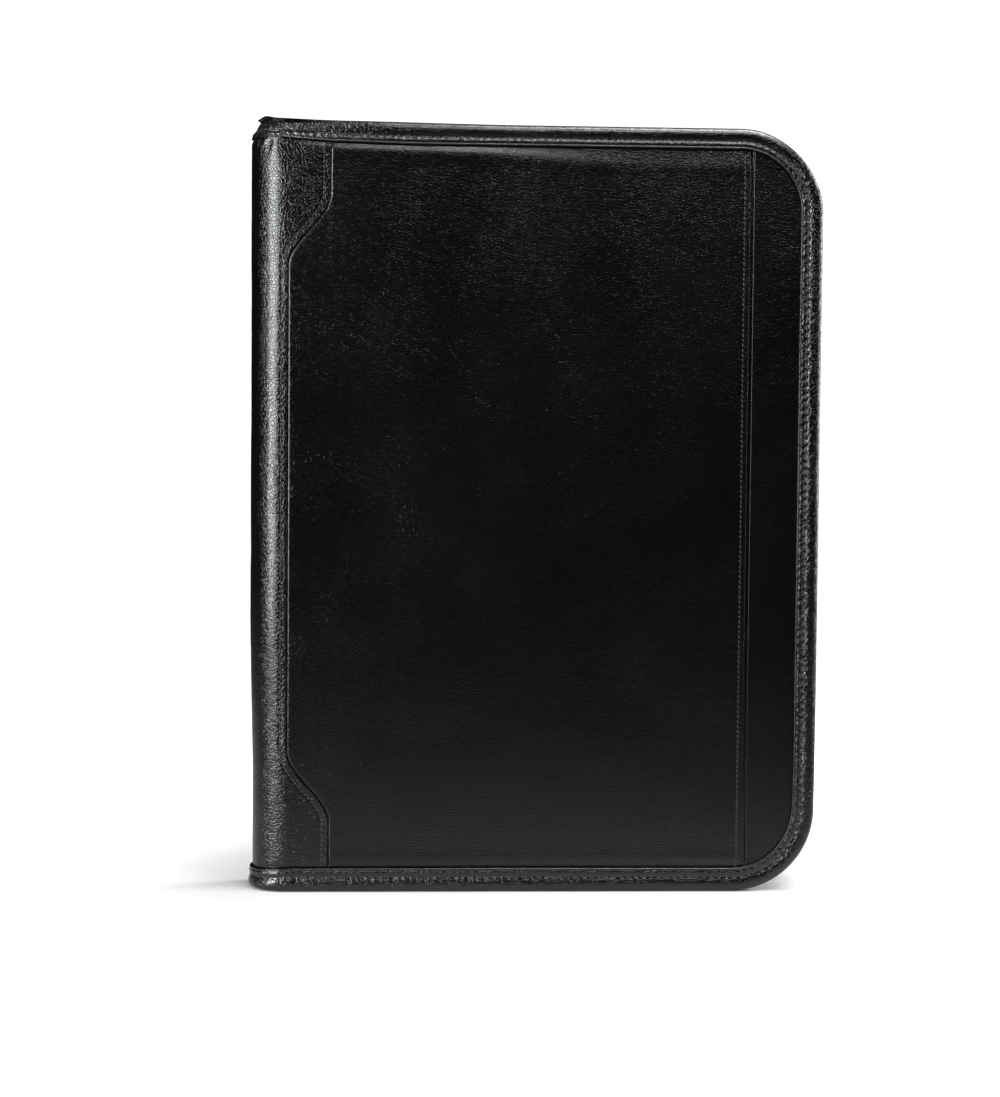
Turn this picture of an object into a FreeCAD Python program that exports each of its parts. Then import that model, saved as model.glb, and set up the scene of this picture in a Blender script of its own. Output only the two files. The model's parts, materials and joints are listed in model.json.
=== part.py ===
"""Zip-around portfolio case for letter-size papers, as a parametric FreeCAD document.

The case stands on its long bottom edge: X runs from the spine to the opening side, Y from the front
cover to the rear cover and Z up. The origin is the middle of the base. Two padded covers are joined
by a soft half-round spine, a leather binding runs round every edge, and a zip closes the other three
sides. The spine is soft, so it is cut into narrow upright strips: each hinges on the next about a line
on the outermost surface, and together they unroll flat as the case opens.
"""
import FreeCAD, Part
import math
import os
import sys

import Sketcher

DOC = FreeCAD.newDocument("PortfolioCase")
SHEET = DOC.addObject("Spreadsheet::Sheet", "Dims")

STRIPS = 4                     # hinged strips that the soft spine is cut into
STRIP_ANGLE = 180 / STRIPS     # degrees of the half-round spine that each strip covers

# Driving dimensions, in millimetres unless the note says degrees.
DIMENSIONS = [
    ("height", 342, "overall height, Z"),
    ("width", 255, "overall width, X"),
    ("depth", 34, "overall depth over the bindings, Y"),
    ("corner", 37, "radius of the two outer corners of a cover"),
    ("hinge_gap", 0.15, "clearance of a cover from its hinge line"),
    ("strip_gap", 0.6, "degrees of clearance on each side of a spine strip"),
    ("binding_leg", 9, "width of the binding on the face of a cover"),
    ("binding_hide", 1, "thickness of the binding leather"),
    ("binding_wrap", 4, "distance from the outer edge to the edge of the layers inside"),
    ("binding_round", 2.5, "rounding of the binding's outer corners"),
    ("inner_face", 10, "distance of the lining's inner face from the middle of the case"),
    ("lining", 0.8, "thickness of the lining"),
    ("board", 2, "thickness of the stiffening board"),
    ("board_setback", 4, "distance of the board from the hinge line, so that the crease stays soft"),
    ("front_foam", 1.2, "thickness of the foam in the front cover"),
    ("hide", 1, "thickness of the cover leather"),
    ("overlay_mid", 1.5, "reach of the spine leather onto the cover at mid height"),
    ("overlay_flare", 19, "reach of the spine leather onto the cover at top and bottom"),
    ("flare_straight", 31.5, "height of the straight end of a flare above the base"),
    ("flare_end", 63, "height where a flare has run out"),
    ("slip_edge", 205.5, "distance of the slip pocket's mouth from the hinge line"),
    ("slip_short", 0.5, "distance of the slip pocket's ends from the fold of the binding"),
    ("zip_inset", 8.4, "distance of the zip's middle plane from the outer edge"),
    ("tape", 0.8, "thickness of the zip tape"),
    ("tape_edge", 3.2, "distance of the tape's edge from the middle of the case"),
    ("tape_start", 1, "start of the zip tape, from the hinge line"),
    ("coil_height", 2.4, "thickness of the zip coil"),
    ("coil_inner", 0.5, "distance of each coil from the middle of the case"),
    ("coil_start", 27.5, "start of the coils at the top, from the hinge line"),
    ("coil_end", 17.5, "end of the coils at the bottom, from the hinge line"),
    ("stop_start", 5.5, "start of the zip's top stops, from the hinge line"),
    ("stop_length", 3, "length of a top stop"),
    ("stop_width", 1, "width of a top stop"),
    ("stop_thick", 1.2, "thickness of a top stop"),
    ("end_box_start", 8, "start of the bottom stop, from the hinge line"),
    ("end_box_length", 6, "length of the bottom stop"),
    ("end_box_front", 2.7, "reach of the bottom stop towards the front cover"),
    ("end_box_thick", 3, "thickness of the bottom stop"),
    ("slider_start", 10, "start of the parked slider, from the hinge line"),
    ("slider_length", 13, "length of the slider"),
    ("slider_half", 5, "half width of the slider"),
    ("slider_channel", 3, "height of the slider's channel"),
    ("slider_slot", 1.6, "height of the slots that the tapes run out of"),
    ("slider_wall", 1.2, "thickness of the slider's wings"),
    ("slider_flange", 1, "thickness of the slider's side flanges"),
    ("post_width", 0.6, "width of the post between the wings"),
    ("post_length", 4, "length of the post between the wings"),
    ("bridge_length", 9, "length of the bridge on the slider"),
    ("bridge_height", 2.7, "height of the bridge on the slider"),
    ("bridge_width", 1.6, "width of the bridge on the slider"),
    ("bridge_bar", 1, "thickness of the bridge's top"),
    ("bridge_leg", 2, "length of each foot of the bridge"),
    ("pull_pivot", 0.9, "height of the pull's pivot above the slider's upper wing"),
    ("pull_bar", 0.55, "radius of the pull's pivot bar"),
    ("pull_thick", 1, "thickness of the pull"),
    ("pull_arm_out", 2.3, "outer half width of the pull's arms"),
    ("pull_arm_in", 1.3, "inner half width of the pull's arms"),
    ("pull_plate", 6, "start of the pull's plate, from its pivot"),
    ("pull_length", 26, "length of the pull, from its pivot"),
    ("pull_half", 3.2, "half width of the pull's plate"),
    ("pocket", 1, "thickness of an inside pocket panel"),
    ("pocket_left", 14, "left edge of the inside pockets, from the hinge line"),
    ("pocket_right", 226, "right edge of the inside pockets, from the hinge line"),
    ("pocket_bottom", 12, "bottom edge of the inside pockets"),
    ("pocket_corner", 22, "radius of the outer lower corner of the inside pockets"),
    ("file_top", 212, "top edge of the file pocket in the front cover"),
    ("sleeve_top", 190, "top edge of the pad sleeve in the rear cover"),
    ("card_left", 124, "left edge of the card pockets, from the hinge line"),
    ("card_width", 96, "width of the card pockets"),
    ("card_bottom", 226, "bottom edge of the card pockets"),
    ("card_height", 60, "height of the lowest card pocket"),
    ("card_step", 13, "how much further up each card pocket behind it reaches"),
    ("card_hide", 0.8, "thickness of a card pocket"),
    ("window_left", 20, "left edge of the name-card window, from the hinge line"),
    ("window_width", 94, "width of the name-card window"),
    ("window_height", 62, "height of the name-card window"),
    ("window_rim", 6, "width of the window's rim"),
    ("window_film", 0.3, "thickness of the window's clear film"),
    ("loop_left", 0.5, "left edge of the pen loop, from the hinge line"),
    ("loop_size", 12.5, "outer size of the pen loop"),
    ("loop_wall", 1, "thickness of the pen loop's elastic"),
    ("loop_bottom", 150, "lower edge of the pen loop"),
    ("loop_height", 34, "height of the pen loop"),
]


class Size:
    """A length known both as a number and as the spreadsheet expression that gives it."""

    def __init__(self, value, text):
        self.value = float(value)
        self.text = text

    def __add__(self, other):
        other = as_size(other)
        return Size(self.value + other.value, f"({self.text} + {other.text})")

    def __sub__(self, other):
        other = as_size(other)
        return Size(self.value - other.value, f"({self.text} - {other.text})")

    def __mul__(self, other):
        other = as_size(other)
        return Size(self.value * other.value, f"({self.text} * {other.text})")

    def __truediv__(self, other):
        other = as_size(other)
        return Size(self.value / other.value, f"({self.text} / {other.text})")

    def __neg__(self):
        return self * -1


def as_size(number):
    """A Size of its own for a plain number."""
    return number if isinstance(number, Size) else Size(number, repr(number))


class Sizes:
    """The spreadsheet's cells, as attributes named by their aliases."""


def fill_sheet():
    """Writes the driving dimensions to the spreadsheet and returns them as Sizes."""
    sizes = Sizes()
    for row, (alias, value, note) in enumerate(DIMENSIONS, start=1):
        SHEET.set(f"A{row}", alias)
        SHEET.set(f"B{row}", str(value))
        SHEET.set(f"C{row}", note)
        SHEET.setAlias(f"B{row}", alias)
        setattr(sizes, alias, Size(value, f"Dims.{alias}"))
    DOC.recompute()
    return sizes


S = fill_sheet()
ZERO = as_size(0)

# Sizes that several pieces share.
HALF_DEPTH = S.depth / 2
HINGE_X = HALF_DEPTH - S.width / 2            # hinge lines, measured from the middle of the case
COVER_WIDTH = S.width - HALF_DEPTH            # from the hinge line to the outer edge of a cover
BINDING_INNER = S.inner_face - S.binding_hide
CORE_OUTER = HALF_DEPTH - S.binding_hide      # outer face of the layers that the binding wraps
CORE_RIGHT = COVER_WIDTH - S.binding_wrap
CORE_TOP = S.height - S.binding_wrap
CORE_CORNER = S.corner - S.binding_wrap
ZIP_TOP = S.height - S.zip_inset
HALF_CHANNEL = S.slider_channel / 2
WING_TOP = HALF_CHANNEL + S.slider_wall
PULL_AXIS_Z = WING_TOP + S.pull_pivot

SUB_PARTS = []


# ---------------------------------------------------------------- helpers

def bind(thing, name, size):
    """Ties one of an object's properties to the spreadsheet."""
    thing.setExpression(name, size.text)


def place(thing, x=ZERO, y=ZERO, z=ZERO, turn=None):
    """Puts an object at a point, turned by some degrees about Z."""
    if turn is not None:
        thing.Placement.Rotation = FreeCAD.Rotation(FreeCAD.Vector(0, 0, 1), turn)
    for axis, size in zip("xyz", (x, y, z)):
        bind(thing, f"Placement.Base.{axis}", size)


def new_body(label):
    """An empty PartDesign body for one sub-part."""
    body = DOC.addObject("PartDesign::Body", label)
    body.Label = label
    SUB_PARTS.append(body)
    return body


def new_sketch(body, role, offset=ZERO):
    """A sketch on one of the body's own origin planes, moved along the plane's normal."""
    sketch = body.newObject("Sketcher::SketchObject", f"{body.Name}_sketch")
    plane = next(p for p in body.Origin.OriginFeatures if p.Role == role)
    sketch.AttachmentSupport = [(plane, "")]
    sketch.MapMode = "FlatFace"
    bind(sketch, "AttachmentOffset.Base.z", offset)
    return sketch


def constrain(sketch, size, kind, *where):
    """Adds a dimension that follows the spreadsheet."""
    index = sketch.addConstraint(Sketcher.Constraint(kind, *where, size.value))
    name = f"size_{index}"
    sketch.renameConstraint(index, name)
    sketch.setExpression(f"Constraints.{name}", size.text)


def outline(sketch, corners):
    """Draws a closed outline of level and upright edges. Each corner is (x, y, radius or None)."""
    points = [FreeCAD.Vector(x.value, y.value, 0) for x, y, _ in corners]
    radii = [radius.value if radius else 0.0 for _, _, radius in corners]
    count = len(corners)
    ways = [(points[(i + 1) % count] - points[i]).normalize() for i in range(count)]
    first = sketch.GeometryCount
    for i in range(count):
        after = (i + 1) % count
        start = points[i] + ways[i] * radii[i]
        end = points[after] - ways[i] * radii[after]
        sketch.addGeometry(Part.LineSegment(start, end), False)
        level = abs(ways[i].x) > 0.5
        edge = first + i
        sketch.addConstraint(Sketcher.Constraint("Horizontal" if level else "Vertical", edge))
        size = corners[i][1] if level else corners[i][0]
        if size is ZERO:
            sketch.addConstraint(Sketcher.Constraint("PointOnObject", edge, 1, -1 if level else -2))
        else:
            constrain(sketch, size, "DistanceY" if level else "DistanceX", -1, 1, edge, 1)
    for i in range(count):
        before = (i - 1) % count
        edge_in, edge_out = first + before, first + i
        radius = corners[i][2]
        if radius is None:
            sketch.addConstraint(Sketcher.Constraint("Coincident", edge_in, 2, edge_out, 1))
            continue
        start = points[i] - ways[before] * radii[i]
        end = points[i] + ways[i] * radii[i]
        centre = start + ways[i] * radii[i]
        left_turn = ways[before].cross(ways[i]).z > 0
        angles = [math.atan2(p.y - centre.y, p.x - centre.x) for p in (start, end)]
        if not left_turn:
            angles.reverse()
        circle = Part.Circle(centre, FreeCAD.Vector(0, 0, 1), radii[i])
        arc = sketch.addGeometry(Part.ArcOfCircle(circle, *angles), False)
        near, far = (1, 2) if left_turn else (2, 1)
        sketch.addConstraint(Sketcher.Constraint("Tangent", edge_in, 2, arc, near))
        sketch.addConstraint(Sketcher.Constraint("Tangent", arc, far, edge_out, 1))
        constrain(sketch, radius, "Radius", arc)


def plate_corners(left, right, bottom, top, lower=None, upper=None):
    """The corners of a plate whose two right-hand corners may be round."""
    return [(left, bottom, None), (right, bottom, lower), (right, top, upper), (left, top, None)]


def band_corners(left_top, left_bottom, inset, reach):
    """The corners of a band that follows a cover's outer edge, from inset to inset + reach inside it."""
    far = inset + reach
    return [
        (left_bottom, inset, None),
        (COVER_WIDTH - inset, inset, S.corner - inset),
        (COVER_WIDTH - inset, S.height - inset, S.corner - inset),
        (left_top, S.height - inset, None),
        (left_top, S.height - far, None),
        (COVER_WIDTH - far, S.height - far, S.corner - far),
        (COVER_WIDTH - far, far, S.corner - far),
        (left_bottom, far, None),
    ]


def overlay_outline(sketch, left):
    """Draws the spine leather's part on a cover: wide at both ends, with an S-curve to each flare."""
    middle, flare = S.overlay_mid, S.overlay_flare
    low, rise, top = S.binding_wrap, S.flare_end - S.flare_straight, CORE_TOP
    shift = (flare - middle).value
    turn = 2 * math.atan2(shift, rise.value)
    radius = rise.value / (2 * math.sin(turn))
    heights = [S.flare_straight, S.flare_end, S.height - S.flare_end, S.height - S.flare_straight]

    def line(x0, y0, x1, y1):
        segment = Part.LineSegment(FreeCAD.Vector(x0, y0, 0), FreeCAD.Vector(x1, y1, 0))
        return sketch.addGeometry(segment, False)

    def arc(x, y, start, end):
        circle = Part.Circle(FreeCAD.Vector(x, y, 0), FreeCAD.Vector(0, 0, 1), radius)
        return sketch.addGeometry(Part.ArcOfCircle(circle, start, end), False)

    x_mid, x_flare, x_left = middle.value, flare.value, left.value
    base = line(x_left, low.value, x_flare, low.value)
    lower = line(x_flare, low.value, x_flare, heights[0].value)
    lower_out = arc(x_flare - radius, heights[0].value, 0, turn)
    lower_in = arc(x_mid + radius, heights[1].value, math.pi, math.pi + turn)
    mid = line(x_mid, heights[1].value, x_mid, heights[2].value)
    upper_in = arc(x_mid + radius, heights[2].value, math.pi - turn, math.pi)
    upper_out = arc(x_flare - radius, heights[3].value, -turn, 0)
    upper = line(x_flare, heights[3].value, x_flare, top.value)
    crown = line(x_flare, top.value, x_left, top.value)
    spine_side = line(x_left, top.value, x_left, low.value)
    for a, b in ((base, lower), (upper, crown), (crown, spine_side), (spine_side, base)):
        sketch.addConstraint(Sketcher.Constraint("Coincident", a, 2, b, 1))
    joints = [
        (lower, 2, lower_out, 1), (lower_out, 2, lower_in, 2), (lower_in, 1, mid, 1),
        (mid, 2, upper_in, 2), (upper_in, 1, upper_out, 1), (upper_out, 2, upper, 1),
    ]
    for joint in joints:
        sketch.addConstraint(Sketcher.Constraint("Tangent", *joint))
    for level in (base, crown):
        sketch.addConstraint(Sketcher.Constraint("Horizontal", level))
    for upright in (lower, mid, upper, spine_side):
        sketch.addConstraint(Sketcher.Constraint("Vertical", upright))
    sketch.addConstraint(Sketcher.Constraint("Equal", lower_out, lower_in))
    sketch.addConstraint(Sketcher.Constraint("Equal", upper_out, upper_in))
    for edge, size in ((lower, flare), (mid, middle), (upper, flare), (spine_side, left)):
        constrain(sketch, size, "DistanceX", -1, 1, edge, 1)
    for edge, size in ((base, low), (crown, top)):
        constrain(sketch, size, "DistanceY", -1, 1, edge, 1)
    ends = ((lower, 2), (mid, 1), (mid, 2), (upper, 1))
    for (edge, end), size in zip(ends, heights):
        constrain(sketch, size, "DistanceY", -1, 1, edge, end)


def layer(label, side, near, thick, draw):
    """A flat layer of a cover, from near to near + thick away from the middle of the case.

    side is -1 in the front cover and 1 in the rear cover. draw fills the sketch, whose origin is on
    the hinge line at the base."""
    body = new_body(label)
    sketch = new_sketch(body, "XZ_Plane", near * -side)
    draw(sketch)
    pad = body.newObject("PartDesign::Pad", f"{label}_pad")
    pad.Profile = sketch
    pad.Reversed = side > 0
    bind(pad, "Length", thick)
    place(body, x=HINGE_X)
    return body


def cut(body, side, near, thick, draw):
    """Cuts a flat-sided pocket out of a layer, from near to near + thick away from the middle."""
    DOC.recompute()
    before = body.Shape.Volume
    sketch = new_sketch(body, "XZ_Plane", near * -side)
    draw(sketch)
    pocket = body.newObject("PartDesign::Pocket", f"{body.Name}_cut")
    pocket.Profile = sketch
    pocket.Reversed = side < 0
    bind(pocket, "Length", thick)
    DOC.recompute()
    if body.Shape.Volume > before - 1:
        sys.exit(f"{body.Label}: the cut removed nothing")


def block(name, x, y, z, length, width, height):
    """A box from its lowest corner."""
    box = DOC.addObject("Part::Box", name)
    for prop, size in (("Length", length), ("Width", width), ("Height", height)):
        bind(box, prop, size)
    place(box, x, y, z)
    return box


def block_part(label, *sizes):
    """A sub-part that is a plain box."""
    box = block(label, *sizes)
    box.Label = label
    SUB_PARTS.append(box)


def fuse(label, shapes):
    """One solid made of several, as a sub-part."""
    union = DOC.addObject("Part::MultiFuse", label)
    union.Label = label
    union.Shapes = shapes
    union.Refine = True
    SUB_PARTS.append(union)
    return union


# ---------------------------------------------------------------- covers

def cover_plate(left):
    """Draws the outline of the layers that the binding wraps."""
    corners = plate_corners(left, CORE_RIGHT, S.binding_wrap, CORE_TOP, CORE_CORNER, CORE_CORNER)
    return lambda sketch: outline(sketch, corners)


def panel_corners(left, right, bottom, top, lower=None):
    """Draws an inside pocket, whose outer lower corner may be round."""
    corners = plate_corners(left, right, bottom, top, lower)
    return lambda sketch: outline(sketch, corners)


def overlay(sketch):
    """Draws the spine leather's part on a cover."""
    overlay_outline(sketch, S.hinge_gap)


def core_layers(name, side, foam):
    """Lining, board and foam, from the inside out. Returns the distance of the foam's outer face."""
    whole = cover_plate(S.hinge_gap)
    depth = S.inner_face
    layer(f"{name}_lining", side, depth, S.lining, whole)
    depth = depth + S.lining
    layer(f"{name}_board", side, depth, S.board, cover_plate(S.board_setback))
    depth = depth + S.board
    layer(f"{name}_foam", side, depth, foam, whole)
    return depth + foam


def binding(name, side):
    """The leather channel that wraps a cover's top, outer and bottom edges."""
    body = new_body(f"{name}_binding")
    path = new_sketch(body, "XZ_Plane")
    route = [
        (S.hinge_gap, ZERO, None),
        (COVER_WIDTH, ZERO, S.corner),
        (COVER_WIDTH, S.height, S.corner),
        (S.hinge_gap, S.height, None),
    ]
    open_route(path, route)
    profile = new_sketch(body, "YZ_Plane", S.hinge_gap)
    outline(profile, channel_corners(side))
    pipe = body.newObject("PartDesign::AdditivePipe", f"{name}_binding_pipe")
    pipe.Profile = profile
    pipe.Spine = (path, [])
    place(body, x=HINGE_X)


def channel_corners(side, upright=False):
    """The binding's section: two legs and a rounded edge, at the base, on one side of the middle.

    upright turns it over for the top end of a spine strip."""
    near, far = BINDING_INNER * side, HALF_DEPTH * side
    core_near, core_far = S.inner_face * side, CORE_OUTER * side
    edge, wrap, leg = ZERO, S.binding_wrap, S.binding_leg
    if upright:
        edge, wrap, leg = S.height, S.height - wrap, S.height - leg
    return [
        (near, edge, S.binding_round),
        (far, edge, S.binding_round),
        (far, leg, None),
        (core_far, leg, None),
        (core_far, wrap, None),
        (core_near, wrap, None),
        (core_near, leg, None),
        (near, leg, None),
    ]


def open_route(sketch, corners):
    """Draws an open route of level and upright runs with round corners between them."""
    points = [FreeCAD.Vector(x.value, y.value, 0) for x, y, _ in corners]
    radius = S.corner.value
    runs = []
    for i in range(3):
        way = (points[i + 1] - points[i]).normalize()
        start = points[i] + way * (radius if i else 0)
        end = points[i + 1] - way * (radius if i < 2 else 0)
        runs.append(sketch.addGeometry(Part.LineSegment(start, end), False))
    bottom, outer, top = runs
    arcs = []
    for corner, start, end in ((points[1], -math.pi / 2, 0), (points[2], 0, math.pi / 2)):
        inward = FreeCAD.Vector(-radius, radius if start < 0 else -radius, 0)
        circle = Part.Circle(corner + inward, FreeCAD.Vector(0, 0, 1), radius)
        arcs.append(sketch.addGeometry(Part.ArcOfCircle(circle, start, end), False))
    for joint in ((bottom, 2, arcs[0], 1), (arcs[0], 2, outer, 1),
                  (outer, 2, arcs[1], 1), (arcs[1], 2, top, 1)):
        sketch.addConstraint(Sketcher.Constraint("Tangent", *joint))
    for level in (bottom, top):
        sketch.addConstraint(Sketcher.Constraint("Horizontal", level))
    sketch.addConstraint(Sketcher.Constraint("Vertical", outer))
    sketch.addConstraint(Sketcher.Constraint("PointOnObject", bottom, 1, -1))
    for arc in arcs:
        constrain(sketch, S.corner, "Radius", arc)
    constrain(sketch, corners[0][0], "DistanceX", -1, 1, bottom, 1)
    constrain(sketch, corners[3][0], "DistanceX", -1, 1, top, 2)
    constrain(sketch, COVER_WIDTH, "DistanceX", -1, 1, outer, 1)
    constrain(sketch, S.height, "DistanceY", -1, 1, top, 2)


def front_cover():
    """The front cover: layers, slip pocket, spine leather, binding and inside pockets."""
    side = -1
    depth = core_layers("front", side, S.front_foam)
    layer("front_skin", side, depth, S.hide, cover_plate(S.hinge_gap))
    depth = depth + S.hide
    layer("front_spine_overlay", side, depth, S.hide, overlay)
    low, top = S.binding_wrap + S.slip_short, CORE_TOP - S.slip_short
    mouth = plate_corners(S.hinge_gap, S.slip_edge, low, top)
    layer("front_slip_pocket", side, depth, S.hide, lambda sketch: outline(sketch, mouth))
    cut(SUB_PARTS[-1], side, depth, S.hide, overlay)
    binding("front", side)
    zip_half("front", side)
    file_pocket = panel_corners(
        S.pocket_left, S.pocket_right, S.pocket_bottom, S.file_top, S.pocket_corner
    )
    layer("file_pocket", side, S.inner_face - S.pocket, S.pocket, file_pocket)
    card_pockets(side)
    card_window(side)
    pen_loop()


def card_pockets(side):
    """Three card pockets, each in front of a taller one, so that their mouths step down."""
    right = S.card_left + S.card_width
    for tier in range(3):
        top = S.card_bottom + S.card_height + S.card_step * (2 - tier)
        near = S.inner_face - S.card_hide * (tier + 1)
        draw = panel_corners(S.card_left, right, S.card_bottom, top)
        layer(f"card_pocket_{tier + 1}", side, near, S.card_hide, draw)


def card_window(side):
    """A name-card window: a clear film under a leather rim."""
    left, bottom = S.window_left, S.card_bottom
    right, top = left + S.window_width, bottom + S.window_height
    near = S.inner_face - S.window_film
    layer("window_film", side, near, S.window_film, panel_corners(left, right, bottom, top))
    rim = S.window_rim
    near = near - S.card_hide
    layer("window_rim", side, near, S.card_hide, panel_corners(left, right, bottom, top))
    hole = panel_corners(left + rim, right - rim, bottom + rim, top - rim)
    cut(SUB_PARTS[-1], side, near, S.card_hide, hole)


def pen_loop():
    """An elastic loop on the front lining, next to the spine, open at both ends."""
    body = new_body("pen_loop")
    sketch = new_sketch(body, "XY_Plane", S.loop_bottom)
    size, wall = S.loop_size, S.loop_wall
    radius = size / 2 - 0.5
    left, right = S.loop_left, S.loop_left + size
    back, front = -S.inner_face, size - S.inner_face
    base_radius = as_size(1)
    outline(sketch, [
        (left, back, base_radius), (right, back, base_radius),
        (right, front, radius), (left, front, radius),
    ])
    outline(sketch, [
        (left + wall, back + wall, None), (right - wall, back + wall, None),
        (right - wall, front - wall, radius - wall), (left + wall, front - wall, radius - wall),
    ])
    pad = body.newObject("PartDesign::Pad", "pen_loop_pad")
    pad.Profile = sketch
    bind(pad, "Length", S.loop_height)
    place(body, x=HINGE_X)


def rear_cover():
    """The rear cover: layers, spine leather, binding and pad sleeve."""
    side = 1
    depth = core_layers("rear", side, S.front_foam + S.hide)
    layer("rear_spine_overlay", side, depth, S.hide, overlay)
    layer("rear_skin", side, depth, S.hide, cover_plate(S.hinge_gap))
    cut(SUB_PARTS[-1], side, depth, S.hide, overlay)
    binding("rear", side)
    zip_half("rear", side)
    sleeve = panel_corners(
        S.pocket_left, S.pocket_right, S.pocket_bottom, S.sleeve_top, S.pocket_corner
    )
    layer("pad_sleeve", side, S.inner_face - S.pocket, S.pocket, sleeve)
    block_part(
        "zip_bottom_stop", HINGE_X + S.end_box_start, -S.end_box_front,
        S.zip_inset - S.end_box_thick / 2,
        S.end_box_length, S.end_box_front + S.tape_edge, S.end_box_thick,
    )


# ---------------------------------------------------------------- zip

def zip_half(name, side):
    """One half of the zip: its tape along the cover's edge, its coil and its top stop."""
    tape_width = BINDING_INNER - S.tape_edge
    tape_inset = S.zip_inset - S.tape / 2
    coil_inset = S.zip_inset - S.coil_height / 2
    tape = band_corners(S.tape_start, S.tape_start, tape_inset, S.tape)
    coil = band_corners(S.coil_start, S.coil_end, coil_inset, S.coil_height)
    layer(f"{name}_zip_tape", side, S.tape_edge, tape_width, lambda sketch: outline(sketch, tape))
    coil_width = S.tape_edge - S.coil_inner
    layer(f"{name}_zip_coil", side, S.coil_inner, coil_width, lambda sketch: outline(sketch, coil))
    low = S.tape_edge - S.stop_width if side > 0 else -S.tape_edge
    block_part(
        f"{name}_zip_stop", HINGE_X + S.stop_start, low, ZIP_TOP - S.stop_thick / 2,
        S.stop_length, S.stop_width, S.stop_thick,
    )


def slider():
    """The slider: two wings with inturned flanges, joined by a thin post, with a bridge on top."""
    start = HINGE_X + S.slider_start
    half, channel, wall = S.slider_half, HALF_CHANNEL, S.slider_wall
    full = half * 2
    lip = channel - S.slider_slot / 2
    pieces = [
        block("wing_upper", start, -half, ZIP_TOP + channel, S.slider_length, full, wall),
        block("wing_lower", start, -half, ZIP_TOP - channel - wall, S.slider_length, full, wall),
        block("post", start, -(S.post_width / 2), ZIP_TOP - channel,
              S.post_length, S.post_width, S.slider_channel),
    ]
    for label, low in (("front", -half), ("rear", half - S.slider_flange)):
        for level, z in (("upper", ZIP_TOP + S.slider_slot / 2), ("lower", ZIP_TOP - channel)):
            pieces.append(block(f"flange_{label}_{level}", start, low, z,
                                S.slider_length, S.slider_flange, lip))
    fuse("zip_slider", pieces)
    middle = start + S.slider_length / 2
    top = ZIP_TOP + WING_TOP
    arch = block("bridge_arch", middle - S.bridge_length / 2, -(S.bridge_width / 2), top,
                 S.bridge_length, S.bridge_width, S.bridge_height)
    window = block("bridge_window", middle - S.bridge_length / 2 + S.bridge_leg,
                   -S.bridge_width, top, S.bridge_length - S.bridge_leg * 2,
                   S.bridge_width * 2, S.bridge_height - S.bridge_bar)
    bridge = DOC.addObject("Part::Cut", "zip_slider_bridge")
    bridge.Label = "zip_slider_bridge"
    bridge.Base, bridge.Tool = arch, window
    SUB_PARTS.append(bridge)


def pull():
    """The pull: a bar under the bridge, an arm on each side of it and a flat plate."""
    axis_x = HINGE_X + S.slider_start + S.slider_length / 2
    axis_z = ZIP_TOP + PULL_AXIS_Z
    bar = DOC.addObject("Part::Cylinder", "pull_bar")
    bind(bar, "Radius", S.pull_bar)
    bind(bar, "Height", S.pull_arm_out * 2)
    bar.Placement.Rotation = FreeCAD.Rotation(FreeCAD.Vector(1, 0, 0), -90)
    place(bar, axis_x, -S.pull_arm_out, axis_z)
    low = axis_z - S.pull_thick / 2
    arm_width = S.pull_arm_out - S.pull_arm_in
    pieces = [bar]
    for label, y in (("front", -S.pull_arm_out), ("rear", S.pull_arm_in)):
        pieces.append(block(f"pull_arm_{label}", axis_x - S.pull_thick / 2, y, low,
                            S.pull_plate + S.pull_thick, arm_width, S.pull_thick))
    pieces.append(block("pull_plate_block", axis_x + S.pull_plate, -S.pull_half, low,
                        S.pull_length - S.pull_plate, S.pull_half * 2, S.pull_thick))
    fuse("zip_pull", pieces)


# ---------------------------------------------------------------- spine

def strip(label, number, corners):
    """A piece of one spine strip: a section turned about the spine's upright middle line."""
    body = new_body(label)
    sketch = new_sketch(body, "XZ_Plane")
    outline(sketch, corners)
    turned = body.newObject("PartDesign::Revolution", f"{label}_turn")
    turned.Profile = sketch
    turned.ReferenceAxis = (sketch, ["V_Axis"])
    bind(turned, "Angle", as_size(STRIP_ANGLE) - S.strip_gap * 2)
    start = 270 - STRIP_ANGLE * number + S.strip_gap.value
    place(body, x=HINGE_X, turn=start)


def spine():
    """The half-round spine, as strips numbered from the front cover to the rear cover."""
    layers = [
        ("lining", S.inner_face, S.inner_face + S.lining),
        ("padding", S.inner_face + S.lining, CORE_OUTER - S.hide),
        ("overlay", CORE_OUTER - S.hide, CORE_OUTER),
    ]
    for number in range(1, STRIPS + 1):
        for name, near, far in layers:
            corners = plate_corners(near, far, S.binding_wrap, CORE_TOP)
            strip(f"spine_{name}_{number}", number, corners)
        strip(f"spine_binding_bottom_{number}", number, channel_corners(1))
        strip(f"spine_binding_top_{number}", number, channel_corners(1, upright=True))


# ---------------------------------------------------------------- writing

def check():
    """Stops if any object failed or any sub-part has no valid shape."""
    for thing in DOC.Objects:
        if "Invalid" in thing.State or "Error" in thing.State:
            sys.exit(f"{thing.Label} failed to recompute: {thing.State}")
    for part in SUB_PARTS:
        if part.Shape.isNull() or not part.Shape.isValid() or not part.Shape.Solids:
            sys.exit(f"{part.Label} has no valid shape")


def write():
    """Writes each sub-part to its own STEP file."""
    os.makedirs("parts", exist_ok=True)
    for part in SUB_PARTS:
        part.Shape.exportStep(f"parts/{part.Label}.step")
        box = part.Shape.BoundBox
        print(f"{part.Label:26s} {part.Shape.Volume:10.1f} mm3  "
              f"x {box.XMin:8.2f} {box.XMax:8.2f}  y {box.YMin:7.2f} {box.YMax:7.2f}  "
              f"z {box.ZMin:7.2f} {box.ZMax:7.2f}")


front_cover()
rear_cover()
slider()
pull()
spine()
DOC.recompute()
check()
write()
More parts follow.
